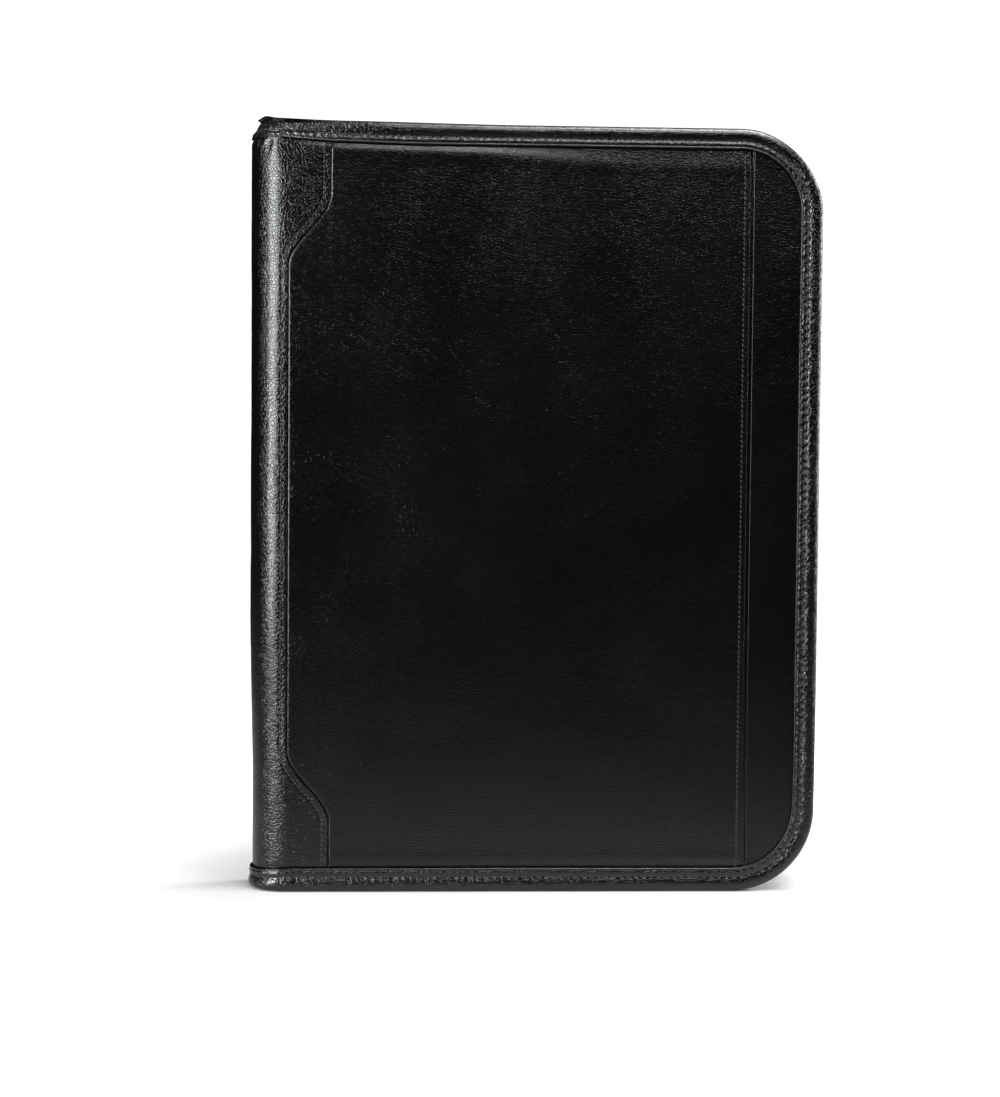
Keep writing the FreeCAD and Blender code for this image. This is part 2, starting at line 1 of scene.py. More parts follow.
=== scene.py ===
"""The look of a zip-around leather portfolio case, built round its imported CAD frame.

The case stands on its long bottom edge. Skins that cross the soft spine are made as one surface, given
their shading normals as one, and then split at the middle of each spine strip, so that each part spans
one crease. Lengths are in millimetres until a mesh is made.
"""
import json
import math

import bpy
import numpy as np
from mathutils import Matrix, Vector


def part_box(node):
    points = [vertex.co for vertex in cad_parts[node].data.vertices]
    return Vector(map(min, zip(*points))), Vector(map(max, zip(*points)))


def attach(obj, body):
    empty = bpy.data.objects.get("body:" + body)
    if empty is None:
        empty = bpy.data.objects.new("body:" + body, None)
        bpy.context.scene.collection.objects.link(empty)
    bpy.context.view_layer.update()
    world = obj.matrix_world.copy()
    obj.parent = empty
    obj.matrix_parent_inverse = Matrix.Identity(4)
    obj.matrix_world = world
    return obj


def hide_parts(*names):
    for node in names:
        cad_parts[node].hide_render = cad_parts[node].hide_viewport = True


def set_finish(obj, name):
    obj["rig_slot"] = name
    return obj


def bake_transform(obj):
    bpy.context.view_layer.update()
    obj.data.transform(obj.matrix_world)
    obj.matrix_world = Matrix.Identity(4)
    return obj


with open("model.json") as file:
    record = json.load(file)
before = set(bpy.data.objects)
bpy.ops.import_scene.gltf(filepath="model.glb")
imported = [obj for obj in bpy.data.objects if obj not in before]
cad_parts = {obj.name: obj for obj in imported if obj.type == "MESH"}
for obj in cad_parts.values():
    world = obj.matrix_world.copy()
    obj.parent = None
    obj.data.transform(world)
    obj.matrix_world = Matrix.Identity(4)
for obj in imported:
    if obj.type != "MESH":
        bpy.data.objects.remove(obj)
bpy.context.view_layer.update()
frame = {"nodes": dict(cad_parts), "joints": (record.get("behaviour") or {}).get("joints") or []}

MM = 0.001
PI = math.pi


def node_box(node):
    """Lowest and highest corner of a CAD node, in millimetres."""
    low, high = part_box(node)
    return np.array(low) / MM, np.array(high) / MM


CREASES = {j["name"]: np.array(j["pos_m"]) / MM for j in frame["joints"] if "pos_m" in j}
HINGE = CREASES["front_crease"][0]          # x of the two creases beside the covers
FACE = -CREASES["front_crease"][1]          # distance of the outermost surface from the mid-plane
BIND_LOW, BIND_HIGH = node_box("front_binding")
HEIGHT = BIND_HIGH[2]
RIGHT = BIND_HIGH[0]
LINING = -node_box("front_lining")[1][1]    # distance of the lining's inner face from the mid-plane
HIDE = -node_box("front_slip_pocket")[0][1]   # depth of the cover leather's face in the CAD
CORNER = 37.0                                # radius of the two outer corners
ARC_X, ARC_LOW, ARC_HIGH = RIGHT - CORNER, CORNER, HEIGHT - CORNER
LEG = 9.0                                    # width of the binding on the cover's face
LOWER_EXTRA = 1.5                            # how much wider it is along the bottom
HALF_TURN = PI * HIDE                        # unrolled length of the spine
STRIP_MIDDLES = [HIDE * math.radians(22.5 + 45 * k) for k in range(4)]
PITCH = 3.4                                  # length of one stitch with its gap


# ---------------------------------------------------------------- numbers

def rise(x, a, b):
    """0 at a, 1 at b, smooth between."""
    s = np.clip((x - a) / (b - a), 0, 1)
    return s * s * (3 - 2 * s)


def bell(x, width):
    """1 at 0, falling away over width on both sides."""
    return np.exp(-(x / width) ** 2)


def noise(u, v, cell, seed):
    """Smooth noise from -1 to 1, with one bump in each cell of that size."""
    grid = np.random.default_rng(seed).uniform(-1, 1, (97, 97))
    a, b = np.asarray(u, float) / cell, np.asarray(v, float) / cell
    i, j = np.floor(a).astype(int), np.floor(b).astype(int)
    a, b = a - i, b - j
    a, b = a * a * (3 - 2 * a), b * b * (3 - 2 * b)
    low = grid[i % 97, j % 97] * (1 - a) + grid[(i + 1) % 97, j % 97] * a
    high = grid[i % 97, (j + 1) % 97] * (1 - a) + grid[(i + 1) % 97, (j + 1) % 97] * a
    return low * (1 - b) + high * b


def creases(u, v, cell, seed):
    """Thin valleys that wander like the folds of worn leather, from 0 to 1."""
    bend_u = u + noise(u, v, cell * 0.9, seed + 1) * cell * 0.5
    bend_v = v + noise(u, v, cell * 0.9, seed + 2) * cell * 0.5
    return np.exp(-np.abs(noise(bend_u, bend_v, cell, seed)) * 14) * rise(
        noise(u, v, cell * 2.3, seed + 3), -0.1, 0.5)


def unit(vectors):
    return vectors / np.maximum(np.linalg.norm(vectors, axis=-1, keepdims=True), 1e-12)


def wrap(t, z, depth):
    """A point of a skin: t is below 0 on the front cover, then runs round the spine to the rear one."""
    t, z, depth = np.broadcast_arrays(t, z, depth)
    angle = np.clip(t / HIDE, 0, PI)
    flat = np.where(t < 0, -t, np.maximum(t - HALF_TURN, 0))
    return np.stack([HINGE - depth * np.sin(angle) + flat, -depth * np.cos(angle), z], -1)


def upper_lift(t):
    """How much higher the upper binding's lip stands near the spine, where the covers push it up."""
    near = np.minimum(t, HALF_TURN - t)
    return 0.9 * rise(near, -62, -14) + 2.0 * rise(near, -22, 16)


def lower_drop(t):
    """How much lower the lower binding's lip stands round the spine."""
    return 1.0 * rise(np.minimum(t, HALF_TURN - t), -6, 16)


def outline_ends(x, inset):
    """Lowest and highest z of a cover's outline at x, that far inside its outer edge."""
    radius = CORNER - inset
    rounding = np.sqrt(np.maximum(radius ** 2 - np.maximum(x - ARC_X, 0) ** 2, 0))
    drop = radius - rounding
    return inset + drop, HEIGHT - inset - drop


# ---------------------------------------------------------------- meshes

def quads(nu, nv, close_u=False, close_v=False):
    i, j = np.meshgrid(np.arange(nu if close_u else nu - 1), np.arange(nv if close_v else nv - 1),
                       indexing="ij")
    a, b = i * nv + j, (i + 1) % nu * nv + j
    c, d = (i + 1) % nu * nv + (j + 1) % nv, i * nv + (j + 1) % nv
    return np.stack([a, b, c, d], -1).reshape(-1, 4)


def slope(points, axis, closed):
    if closed:
        return np.roll(points, -1, axis) - np.roll(points, 1, axis)
    return np.gradient(points, axis=axis)


def grid_normals(points, close_u=False, close_v=False, flip=False):
    across = np.cross(slope(points, 0, close_u), slope(points, 1, close_v))
    return unit(-across if flip else across)


class Shape:
    """Vertices, faces and grain coordinates gathered part by part, in millimetres."""

    def __init__(self):
        self.points, self.grain, self.faces, self.normals, self.count = [], [], [], [], 0

    def add(self, points, faces, grain=None, normals=None):
        points = np.asarray(points, float).reshape(-1, 3)
        self.points.append(points)
        self.grain.append(points if grain is None else np.asarray(grain, float).reshape(-1, 3))
        for group in faces:
            self.faces.append(np.asarray(group) + self.count)
        if normals is not None:
            self.normals.append(np.asarray(normals, float).reshape(-1, 3))
        self.count += len(points)
        return self

    def grid(self, points, close_u=False, close_v=False, flip=False, grain=None, normals=None,
             caps=False):
        nu, nv = points.shape[:2]
        faces = [quads(nu, nv, close_u, close_v)]
        if caps:
            faces += [np.arange(nv)[None, :], (nu - 1) * nv + np.arange(nv)[None, ::-1]]
        if flip:
            faces = [f[:, ::-1] for f in faces]
        return self.add(points, faces, grain, normals)

    def copies(self, template, faces, origins, axes, grain=None):
        """Copies of a template: its three coordinates run along axes, which has a row per copy."""
        points = origins[:, None, :] + np.einsum("mk,nkc->nmc", template, axes)
        offsets = (np.arange(len(origins)) * len(template))[:, None, None]
        every = [(np.asarray(f)[None] + offsets).reshape(-1, np.asarray(f).shape[1]) for f in faces]
        return self.add(points, every, grain)

    def piece(self, name, material, slot, smooth_angle=40):
        points = np.concatenate(self.points) * MM
        corners = np.concatenate([f.ravel() for f in self.faces]).astype(np.int32)
        sizes = np.concatenate([np.full(len(f), f.shape[1]) for f in self.faces])
        starts = np.concatenate([[0], np.cumsum(sizes)[:-1]]).astype(np.int32)
        mesh = bpy.data.meshes.new(name)
        mesh.vertices.add(len(points))
        mesh.vertices.foreach_set("co", points.astype(np.float32).ravel())
        mesh.loops.add(len(corners))
        mesh.loops.foreach_set("vertex_index", corners)
        mesh.polygons.add(len(sizes))
        mesh.polygons.foreach_set("loop_start", starts)
        mesh.update(calc_edges=True)
        mesh.validate()
        mesh.shade_smooth()
        if self.normals:
            mesh.normals_split_custom_set_from_vertices(np.concatenate(self.normals))
        else:
            mesh.set_sharp_from_angle(angle=math.radians(smooth_angle))
        grain = mesh.attributes.new("grain", "FLOAT_VECTOR", "POINT")
        grain.data.foreach_set("vector", (np.concatenate(self.grain) * MM).astype(np.float32).ravel())
        obj = bpy.data.objects.new(name, mesh)
        bpy.context.scene.collection.objects.link(obj)
        mesh.materials.append(material)
        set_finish(obj, slot)
        return obj


def bend(obj):
    """Bakes a piece's placement into its mesh."""
    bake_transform(obj)


# ---------------------------------------------------------------- materials

class Nodes:
    """Short calls to build a material's node tree."""

    def __init__(self, name):
        self.material = bpy.data.materials.new(name)
        self.material.use_nodes = True
        self.tree = self.material.node_tree
        self.shader = self.tree.nodes["Principled BSDF"]

    def node(self, kind, settings=(), **inputs):
        node = self.tree.nodes.new(kind)
        for key, value in dict(settings).items():
            setattr(node, key, value)
        for key, value in inputs.items():
            socket = node.inputs[int(key[1:])] if key[0] == "i" and key[1:].isdigit() else \
                node.inputs[key.replace("_", " ")]
            self.put(socket, value)
        return node

    def put(self, socket, value):
        if isinstance(value, bpy.types.NodeSocket):
            self.tree.links.new(value, socket)
        else:
            socket.default_value = value

    def math(self, operation, a, b=0.0, c=0.0, clamp=False):
        made = self.node("ShaderNodeMath", {"operation": operation, "use_clamp": clamp})
        for socket, value in zip(made.inputs, (a, b, c)):
            self.put(socket, value)
        return made.outputs[0]

    def span(self, value, low, high, to_low=0.0, to_high=1.0):
        made = self.node("ShaderNodeMapRange", {"interpolation_type": "SMOOTHSTEP"})
        for socket, item in zip(made.inputs, (value, low, high, to_low, to_high)):
            self.put(socket, item)
        return made.outputs[0]

    def mix(self, factor, a, b):
        made = self.node("ShaderNodeMix", {"data_type": "RGBA"})
        self.put(made.inputs[0], factor)
        self.put(made.inputs[6], a)
        self.put(made.inputs[7], b)
        return made.outputs[2]

    def coords(self, attribute="grain"):
        if attribute == "object":
            return self.node("ShaderNodeTexCoord").outputs["Object"]
        return self.node("ShaderNodeAttribute", {"attribute_name": attribute}).outputs["Vector"]

    def noise(self, vector, scale, detail=3.0, rough=0.55, distortion=0.0):
        made = self.node("ShaderNodeTexNoise", Vector=vector, Scale=scale, Detail=detail,
                         Roughness=rough, Distortion=distortion)
        return made.outputs["Fac"]

    def cells(self, vector, scale, feature="DISTANCE_TO_EDGE", random=1.0):
        made = self.node("ShaderNodeTexVoronoi", {"feature": feature}, Vector=vector, Scale=scale,
                         Randomness=random)
        return made.outputs["Distance"]

    def warp(self, vector, scale, amount):
        colour = self.node("ShaderNodeTexNoise", Vector=vector, Scale=scale, Detail=2.0).outputs["Color"]
        centred = self.node("ShaderNodeVectorMath", {"operation": "SUBTRACT"}, i0=colour,
                            i1=(0.5, 0.5, 0.5)).outputs[0]
        moved = self.node("ShaderNodeVectorMath", {"operation": "SCALE"}, i0=centred)
        moved.inputs["Scale"].default_value = amount
        return self.node("ShaderNodeVectorMath", {"operation": "ADD"}, i0=vector,
                         i1=moved.outputs[0]).outputs[0]

    def bump(self, height, distance, strength=1.0, normal=None):
        made = self.node("ShaderNodeBump", Height=height, Distance=distance, Strength=strength)
        if normal is not None:
            self.put(made.inputs["Normal"], normal)
        return made.outputs["Normal"]

    def finish(self, **inputs):
        for key, value in inputs.items():
            self.put(self.shader.inputs[key.replace("_", " ")], value)
        return self.material


def rgb(value, tint=(1, 1, 1)):
    return (value * tint[0], value * tint[1], value * tint[2], 1)


def leather(name, base=0.002, rough=(0.16, 0.19), pebble=0.033, crease=0.024, cell=900, coat=0.15,
            gloss=0.14, tint=(0.9, 1, 1.06), attribute="grain"):
    """Polished black leather: pebbles between fine creases, long wandering folds, duller pore valleys with painted
    shade darkening them.
    """
    n = Nodes(name)
    grain = n.coords(attribute)
    bent = n.warp(grain, 420, 0.0011)
    cells = n.cells(bent, cell)
    pebbles = n.span(cells, 0.0, 0.16)
    small = n.span(n.cells(bent, cell * 2.6), 0.0, 0.3)
    fine = n.noise(grain, 5200, 3)
    folded = n.warp(grain, 55, 0.016)
    fold_cells = n.span(n.cells(folded, 95), 0.0, 0.035)
    where = n.span(n.noise(grain, 26, 2), 0.4, 0.7, 0.1, 0.8)
    folds = n.math("MULTIPLY", n.math("SUBTRACT", 1.0, fold_cells), where)
    height = n.math("MULTIPLY_ADD", small, 0.18, n.math("MULTIPLY_ADD", fine, 0.06, pebbles))
    uneven = n.span(n.noise(grain, 34, 3), 0.3, 0.72, 0.85, 1.1)
    normal = n.bump(n.math("MULTIPLY", height, uneven), pebble * MM)
    normal = n.bump(n.math("SUBTRACT", 1.0, folds), crease * MM, normal=normal)
    pores_dull_and_painted_shade = n.math("SUBTRACT", 1.0, pebbles)
    cloudy = n.noise(grain, 16, 4)
    roughness = n.span(cloudy, 0.3, 0.7, rough[0], rough[1])
    roughness = n.math("MULTIPLY_ADD", pores_dull_and_painted_shade, 0.05, roughness, clamp=True)
    colour = n.mix(n.span(cloudy, 0.35, 0.7), rgb(base * 0.75, tint), rgb(base * 1.3, tint))
    # Painted shade: the colour is darkened in the narrow valleys between pebbles, where shade falls.
    colour = n.mix(n.math("MULTIPLY", pores_dull_and_painted_shade, 0.5), colour, rgb(base * 0.5, tint))
    return n.finish(Base_Color=colour, Roughness=roughness, Normal=normal, Specular_IOR_Level=0.5,
                    Coat_Weight=coat, Coat_Roughness=gloss, Coat_Normal=normal)


def woven(name, base, second, pitch, rough=0.75, depth=0.12, sheen=0.25, attribute="grain", ribs=None):
    """Plain weave, or ribs that run one way, in two close shades with stray darker yarns."""
    n = Nodes(name)
    grain = n.coords(attribute)
    bent = n.warp(grain, 180, 0.0004)
    parts = n.node("ShaderNodeSeparateXYZ", Vector=bent)
    turns = 2 * PI / (pitch * MM)
    warp_wave = n.math("SINE", n.math("MULTIPLY", parts.outputs[0], turns))
    weft_wave = n.math("SINE", n.math("MULTIPLY", parts.outputs[1 if attribute == "grain" else 2], turns))
    over = n.math("MULTIPLY", warp_wave, weft_wave)
    height = n.math("MULTIPLY_ADD", over, 0.5, 0.5)
    if ribs:
        height = n.math("MULTIPLY_ADD", n.math("SINE", n.math("MULTIPLY", parts.outputs[1], 2 * PI / (ribs * MM))),
                        0.8, height)
    yarn = n.noise(grain, 900, 2)
    colour = n.mix(n.span(over, -0.6, 0.6), base, second)
    colour = n.mix(n.span(n.noise(grain, 60, 3), 0.35, 0.75, 0.0, 0.35), colour, rgb(0.5, base[:3]))
    normal = n.bump(n.math("MULTIPLY_ADD", yarn, 0.3, height), depth * MM)
    return n.finish(Base_Color=colour, Roughness=rough, Normal=normal, Sheen_Weight=sheen,
                    Sheen_Roughness=0.4, Specular_IOR_Level=0.3)


def metal(name, base, rough, attribute="grain"):
    """Plated metal with fine brushed lines, worn brighter in places."""
    n = Nodes(name)
    grain = n.coords(attribute)
    stretched = n.node("ShaderNodeVectorMath", {"operation": "MULTIPLY"}, i0=grain, i1=(1.0, 7.0, 7.0))
    lines = n.noise(stretched.outputs[0], 900, 4)
    spots = n.noise(grain, 260, 3)
    roughness = n.span(spots, 0.3, 0.7, rough * 0.75, rough * 1.35)
    colour = n.mix(n.span(lines, 0.35, 0.7), rgb(base * 0.86), rgb(base * 1.08))
    return n.finish(Base_Color=colour, Metallic=1.0, Roughness=roughness,
                    Normal=n.bump(lines, 0.02 * MM))


def thread(name, base):
    """Twisted sewing thread with a waxy sheen."""
    n = Nodes(name)
    grain = n.coords("object")
    strands = n.noise(grain, 4200, 2)
    colour = n.mix(n.span(strands, 0.35, 0.65), rgb(base * 0.6), rgb(base * 1.6))
    return n.finish(Base_Color=colour, Roughness=0.34, Normal=n.bump(strands, 0.05 * MM),
                    Sheen_Weight=0.15)


def moulded(name, base, rough, speckle=900, depth=0.03, **more):
    """Moulded or pressed stuff with a faint speckle."""
    n = Nodes(name)
    grain = n.coords("object")
    spots = n.noise(grain, speckle, 4)
    colour = n.mix(n.span(spots, 0.3, 0.7), rgb(0.85, base), rgb(1.12, base))
    return n.finish(Base_Color=colour, Roughness=n.span(spots, 0.3, 0.7, rough * 0.85, min(rough * 1.15, 1)),
                    Normal=n.bump(spots, depth * MM), **more)


COVER = leather("cover_leather")
SPINE = leather("spine_leather", rough=(0.16, 0.19), pebble=0.047, crease=0.02, cell=780, coat=0.3)
BINDING = leather("binding_leather", rough=(0.11, 0.15), pebble=0.05, crease=0.02, cell=900,
                  coat=0.6, gloss=0.08)
POCKET = leather("pocket_leather", base=0.008, rough=(0.3, 0.36), pebble=0.05, crease=0.02, cell=700, coat=0.05)
FABRIC = woven("lining_fabric", rgb(0.03), rgb(0.055), 0.62)
TAPE = woven("zip_tape", rgb(0.012), rgb(0.022), 0.8, depth=0.2)
ELASTIC = woven("elastic", rgb(0.012), rgb(0.028), 0.5, ribs=1.3, depth=0.2)
THREAD = thread("stitch_thread", 0.02)
TEETH = moulded("zip_teeth", (0.016, 0.016, 0.017), 0.34, Specular_IOR_Level=0.6)
METAL = metal("zip_metal", 0.34, 0.3)
BOARD = moulded("board", (0.22, 0.18, 0.13), 0.9, speckle=300, depth=0.2)
FOAM = moulded("foam", (0.045, 0.045, 0.047), 0.95, speckle=1400, depth=0.35)
FILM = moulded("clear_film", (0.9, 0.92, 0.93), 0.12, speckle=60, depth=0.02, Transmission_Weight=0.96,
               IOR=1.45)


# ---------------------------------------------------------------- stitches

def capsule(length, width, height):
    """A stitch: along, across and up. Its ends dive into the hide."""
    along = np.array([-1, -0.93, -0.72, -0.3, 0.3, 0.72, 0.93, 1]) * length / 2
    full = np.array([0.3, 0.75, 1, 1, 1, 1, 0.75, 0.3])
    drop = -0.5 * (np.abs(along) / (length / 2)) ** 5 * height * 1.6
    turn = np.arange(6) * PI / 3
    across = np.cos(turn)[None, :] * full[:, None] * width / 2
    up = np.sin(turn)[None, :] * full[:, None] * height + drop[:, None]
    points = np.stack([np.repeat(along[:, None], 6, 1), across, up], -1)
    faces = [quads(8, 6, close_v=True), np.arange(6)[None, ::-1] * 1, 42 + np.arange(6)[None, :]]
    return points.reshape(-1, 3), [faces[0][:, ::-1], faces[1][:, ::-1], faces[2][:, ::-1]]


STITCH, STITCH_FACES = capsule(2.7, 0.66, 0.24)
SMALL_STITCH, SMALL_PITCH = capsule(1.75, 0.52, 0.17)[0], 2.25


def stitches(name, centres, along, out, slant=0.16, template=STITCH):
    """A row of stitches, each turned a little off the row's line."""
    along, out = unit(along), unit(out)
    across = np.cross(out, along)
    turned = unit(along + across * slant)
    shape = Shape()
    shape.copies(template, STITCH_FACES, centres, np.stack([turned, np.cross(out, turned), out], 1))
    return shape.piece(name, THREAD, "spine_leather", 60)


def spaced(points, pitch=PITCH, lead=0.5):
    """Points a stitch apart along a polyline, with the line's directions there."""
    steps = np.linalg.norm(np.diff(points, axis=0), axis=1)
    length = np.concatenate([[0], np.cumsum(steps)])
    at = (np.arange(int(length[-1] / pitch)) + lead) * pitch
    found = np.stack([np.interp(at, length, points[:, k]) for k in range(points.shape[1])], -1)
    ahead = np.stack([np.interp(at + 0.3, length, points[:, k]) for k in range(points.shape[1])], -1)
    behind = np.stack([np.interp(at - 0.3, length, points[:, k]) for k in range(points.shape[1])], -1)
    return found, ahead - behind


# ---------------------------------------------------------------- binding

OUTER_LEG = [
    (9.1, 15.8), (9.3, 16.1), (9.28, 16.42), (9.08, 16.66), (8.8, 16.72), (8.55, 16.6), (8.38, 16.5),
    (8.15, 16.6), (7.8, 16.78), (7.35, 16.8), (6.9, 16.68), (6.55, 16.46), (6.25, 16.24), (6.0, 16.14),
    (5.75, 16.2), (5.45, 16.4), (5.1, 16.66), (4.6, 16.92), (4.0, 17.1), (3.3, 17.18), (2.6, 17.15),
    (1.9, 16.98), (1.25, 16.64), (0.7, 16.12), (0.3, 15.4), (0.06, 14.5), (0.0, 13.4), (0.06, 12.2),
    (0.35, 11.1), (0.9, 10.2), (1.7, 9.55), (2.7, 9.12), (3.8, 9.0), (5.0, 9.0), (5.7, 9.08),
    (6.05, 9.2), (6.4, 9.08), (7.2, 8.98), (8.3, 9.0), (8.9, 9.15), (9.05, 9.5), (8.8, 9.86),
    (6.2, 9.9), (4.0, 9.95), (3.6, 10.6), (3.6, 12.9), (3.6, 15.1), (4.0, 15.7), (6.2, 15.75),
]


def ring_stations():
    """Stations round the whole binding: edge point, inward direction, depth direction, side.

    They start in the middle of the spine's lower end, and run round the front cover, over the
    spine's upper end, round the rear cover and back.
    """
    step = PITCH / 7
    quarter = np.linspace(0, PI / 2, int((CORNER - 5) * PI / 2 / step))
    run = np.linspace(0, ARC_X - HINGE, int((ARC_X - HINGE) / step))
    upright = np.linspace(ARC_LOW, ARC_HIGH, int((ARC_HIGH - ARC_LOW) / step))
    cover = []
    for x in run[:-1]:
        cover.append(((HINGE + x, 0), (0, 1)))
    for a in quarter[:-1]:
        way = (math.sin(a), -math.cos(a))
        cover.append(((ARC_X + CORNER * way[0], ARC_LOW + CORNER * way[1]), (-way[0], -way[1])))
    for z in upright[:-1]:
        cover.append(((RIGHT, z), (-1, 0)))
    for a in quarter[:-1]:
        way = (math.cos(a), math.sin(a))
        cover.append(((ARC_X + CORNER * way[0], ARC_HIGH + CORNER * way[1]), (-way[0], -way[1])))
    for x in run[::-1]:
        cover.append(((HINGE + x, HEIGHT), (0, -1)))
    turn = np.radians(np.concatenate([np.arange(90, 0, -2.25), [0]]))[:-1]
    rows = []
    for a in turn:
        rows.append(((HINGE, 0, 0), (0, 0, 1), (-math.sin(a), -math.cos(a), 0)))
    for (x, z), (ix, iz) in cover:
        rows.append(((x, 0, z), (ix, 0, iz), (0, -1, 0)))
    for a in np.concatenate([turn[::-1], [PI / 2]])[:]:
        rows.append(((HINGE, 0, HEIGHT), (0, 0, -1), (-math.sin(a), -math.cos(a), 0)))
    half = [np.array([r[k] for r in rows], float) for k in range(3)]
    mirror = [part[::-1][1:-1] * ((1, -1, 1) if k == 2 else (1, 1, 1)) for k, part in enumerate(half)]
    return [np.concatenate([a, b]) for a, b in zip(half, mirror)]


def binding():
    edge, inward, out = ring_stations()
    profile = np.array(OUTER_LEG)
    inset, depth = profile[:, 0][None, :], profile[:, 1][None, :]
    middle = edge + inward * 6 + out * 16.5
    steps = np.linalg.norm(np.diff(middle, axis=0, append=middle[:1]), axis=1)
    length = np.concatenate([[0], np.cumsum(steps)[:-1]])
    total = steps.sum()
    pitch = total / round(total / PITCH)
    s = length[:, None]
    phase = 2 * PI * s / pitch
    outer = rise(depth, 14, 16)
    inner = 1 - rise(depth, 9.5, 11)
    round_u, round_v = np.cos(2 * PI * s / total) * total / 6.28, np.sin(2 * PI * s / total) * total / 6.28
    lift = outer * 0.40 * bell(inset - 6.0, 0.75) * (1 - np.cos(phase + (inset - 6.0) * 1.4)) / 2
    lift = lift + outer * 0.12 * bell(inset - 7.2, 0.9) * np.cos(phase + (inset - 6.0) * 1.9)
    lift = lift + outer * 0.10 * bell(inset - 4.9, 0.9) * np.cos(phase + (inset - 6.0) * 1.9)
    lift = lift + outer * 0.06 * bell(inset - 7.4, 0.9) * noise(s + inset, inset * 3, 1.5, 11)
    lift = lift + outer * bell(inset - 3.0, 2.4) * (0.06 * noise(s, inset * 1.5, 5, 12)
                                                    + 0.05 * noise(s, inset * 1.5, 1.8, 13))
    lift = lift + outer * 0.10 * noise(round_u, round_v, 38, 14)
    lift = lift - inner * 0.06 * bell(inset - 6.0, 0.5) * (1 - np.cos(phase)) / 2
    # The spine's upper end is pinched: its edge leans in, and the hide stands up in a small peak.
    around = np.clip(-out[:, 0], 0, 1)[:, None]
    turned = np.arctan2(-out[:, 0:1], -out[:, 1:2])
    t = HIDE * turned + np.where(out[:, 1:2] < 0, -1, 1) * (edge[:, 0:1] - HINGE)
    near = np.minimum(t, HALF_TURN - t)
    at_top = inward[:, 2:3] < -0.999
    at_foot = inward[:, 2:3] > 0.999
    lean = rise(near, -44, 6) * outer * 4.2 * at_top * (1 - rise(inset, 1.0, 10.0))
    folds = rise(near, -14, 4) * (0.22 * at_top + 0.16 * at_foot) * outer * noise(s, inset * 1.2, 2.6, 15)
    depths = depth + lift - lean + folds
    insets = inset + 0.10 * noise(round_u, round_v, 60, 16) * bell(inset - 9, 3)
    # The binding is wider along the bottom than along the top, and stands a little higher at the spine.
    at_bottom = 1 - rise(edge[:, 2:3], 2, 60)
    at_right = rise(edge[:, 0:1], ARC_X, RIGHT)
    insets = insets + outer * rise(inset, 2, 9) * (LOWER_EXTRA * at_bottom + 0.45 * at_right)
    insets = insets - (1 - rise(inset, 0, 6)) * (0.4 * at_right * (1 - at_bottom))
    roll_lift = 1.1 * (1 - rise(edge[:, 0:1], HINGE, HINGE + 110)) + 1.0 * rise(near, -22, 16)
    low_side = rise(inset, 0, 8)
    insets = insets - at_top * (roll_lift * (1 - low_side) * rise(depth, 10, 14.5)
                                + upper_lift(t) * low_side * outer)
    insets = insets - at_foot * lower_drop(t) * low_side * outer
    corner = 4 * (inward[:, 0:1] * inward[:, 2:3]) ** 2 * (edge[:, 2:3] > HEIGHT / 2)
    insets = insets + 0.7 * corner * (1 - rise(inset, 0, 6))
    peak = 0.9 * bell((np.degrees(np.arcsin(np.clip(around, 0, 1))) - 44) / 16, 1) * (out[:, 1:2] < 0)
    insets = insets - peak * (edge[:, 2:3] > HEIGHT / 2) * (1 - rise(inset, 0.5, 5)) * (around > 0.02)
    points = edge[:, None] + inward[:, None] * insets[..., None] + out[:, None] * depths[..., None]
    girth = np.concatenate([[0], np.cumsum(np.linalg.norm(np.diff(profile, axis=0), axis=1))])
    grain = np.stack(np.broadcast_arrays(s, girth[None, :], np.sign(out[:, 1:2]) * 50), -1)
    normals = grid_normals(points, True, True)
    if (normals[:, 19] * out).sum() < 0:
        normals, flip = -normals, True
    else:
        flip = False
    # Marks between the five parts of the ring, at the middles of the strips.
    angle = np.degrees(np.arctan2(-out[:, 0], -out[:, 1]))
    top = edge[:, 2] > HEIGHT / 2
    on_spine = (edge[:, 0] <= HINGE + 1e-6)
    count = len(edge)

    def mark(degrees, upper_end):
        found = np.where(on_spine & (top == upper_end) & (np.abs(angle - degrees) < 0.01))[0]
        return int(found[0])

    ends = [22.5, 67.5, 112.5, 157.5]
    low, high = [mark(d, False) for d in ends], [mark(d, True) for d in ends]
    plan = [("binding_front", 0, low[0], high[0], ["front_binding"])]
    for k in (1, 2, 3):
        plan.append((f"binding_spine_top_{k}", k, high[k - 1], high[k], [f"spine_binding_top_{k}"]))
    plan.append(("binding_rear", 4, high[3], low[3],
                 ["rear_binding", "spine_binding_top_4", "spine_binding_bottom_4"]))
    for k in (3, 2, 1):
        plan.append((f"binding_spine_bottom_{k}", k, low[k], low[k - 1], [f"spine_binding_bottom_{k}"]))
    found, _ = np.arange(round(total / pitch)) * pitch, None
    nearest = np.array([int(np.argmin(np.abs(length - f))) for f in found])
    rows = {"outer": 13, "inner": 35}
    for name, crease, first, last, nodes in plan:
        span = np.arange(first, last + 1) if last > first else np.r_[first:count, 0:last + 1]
        shape = Shape().grid(points[span], close_v=True, flip=flip, grain=grain[span], normals=normals[span])
        obj = shape.piece(name, BINDING, "binding_leather")
        bend(obj)
        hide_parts(*nodes)
        chosen = nearest[np.isin(nearest, span[:-1])]
        forward = points[(chosen + 1) % count] - points[chosen - 1]
        for side, row in rows.items():
            out_way = out[chosen] * (1 if side == "outer" else -1)
            raised = points[chosen, row] + out_way * 0.12
            sewn = stitches(f"{name}_stitches_{side}", raised, forward[:, row], out_way,
                            0.16 if side == "outer" else -0.16)
            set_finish(sewn, "binding_leather")
            bend(sewn)


binding()


# ---------------------------------------------------------------- skins

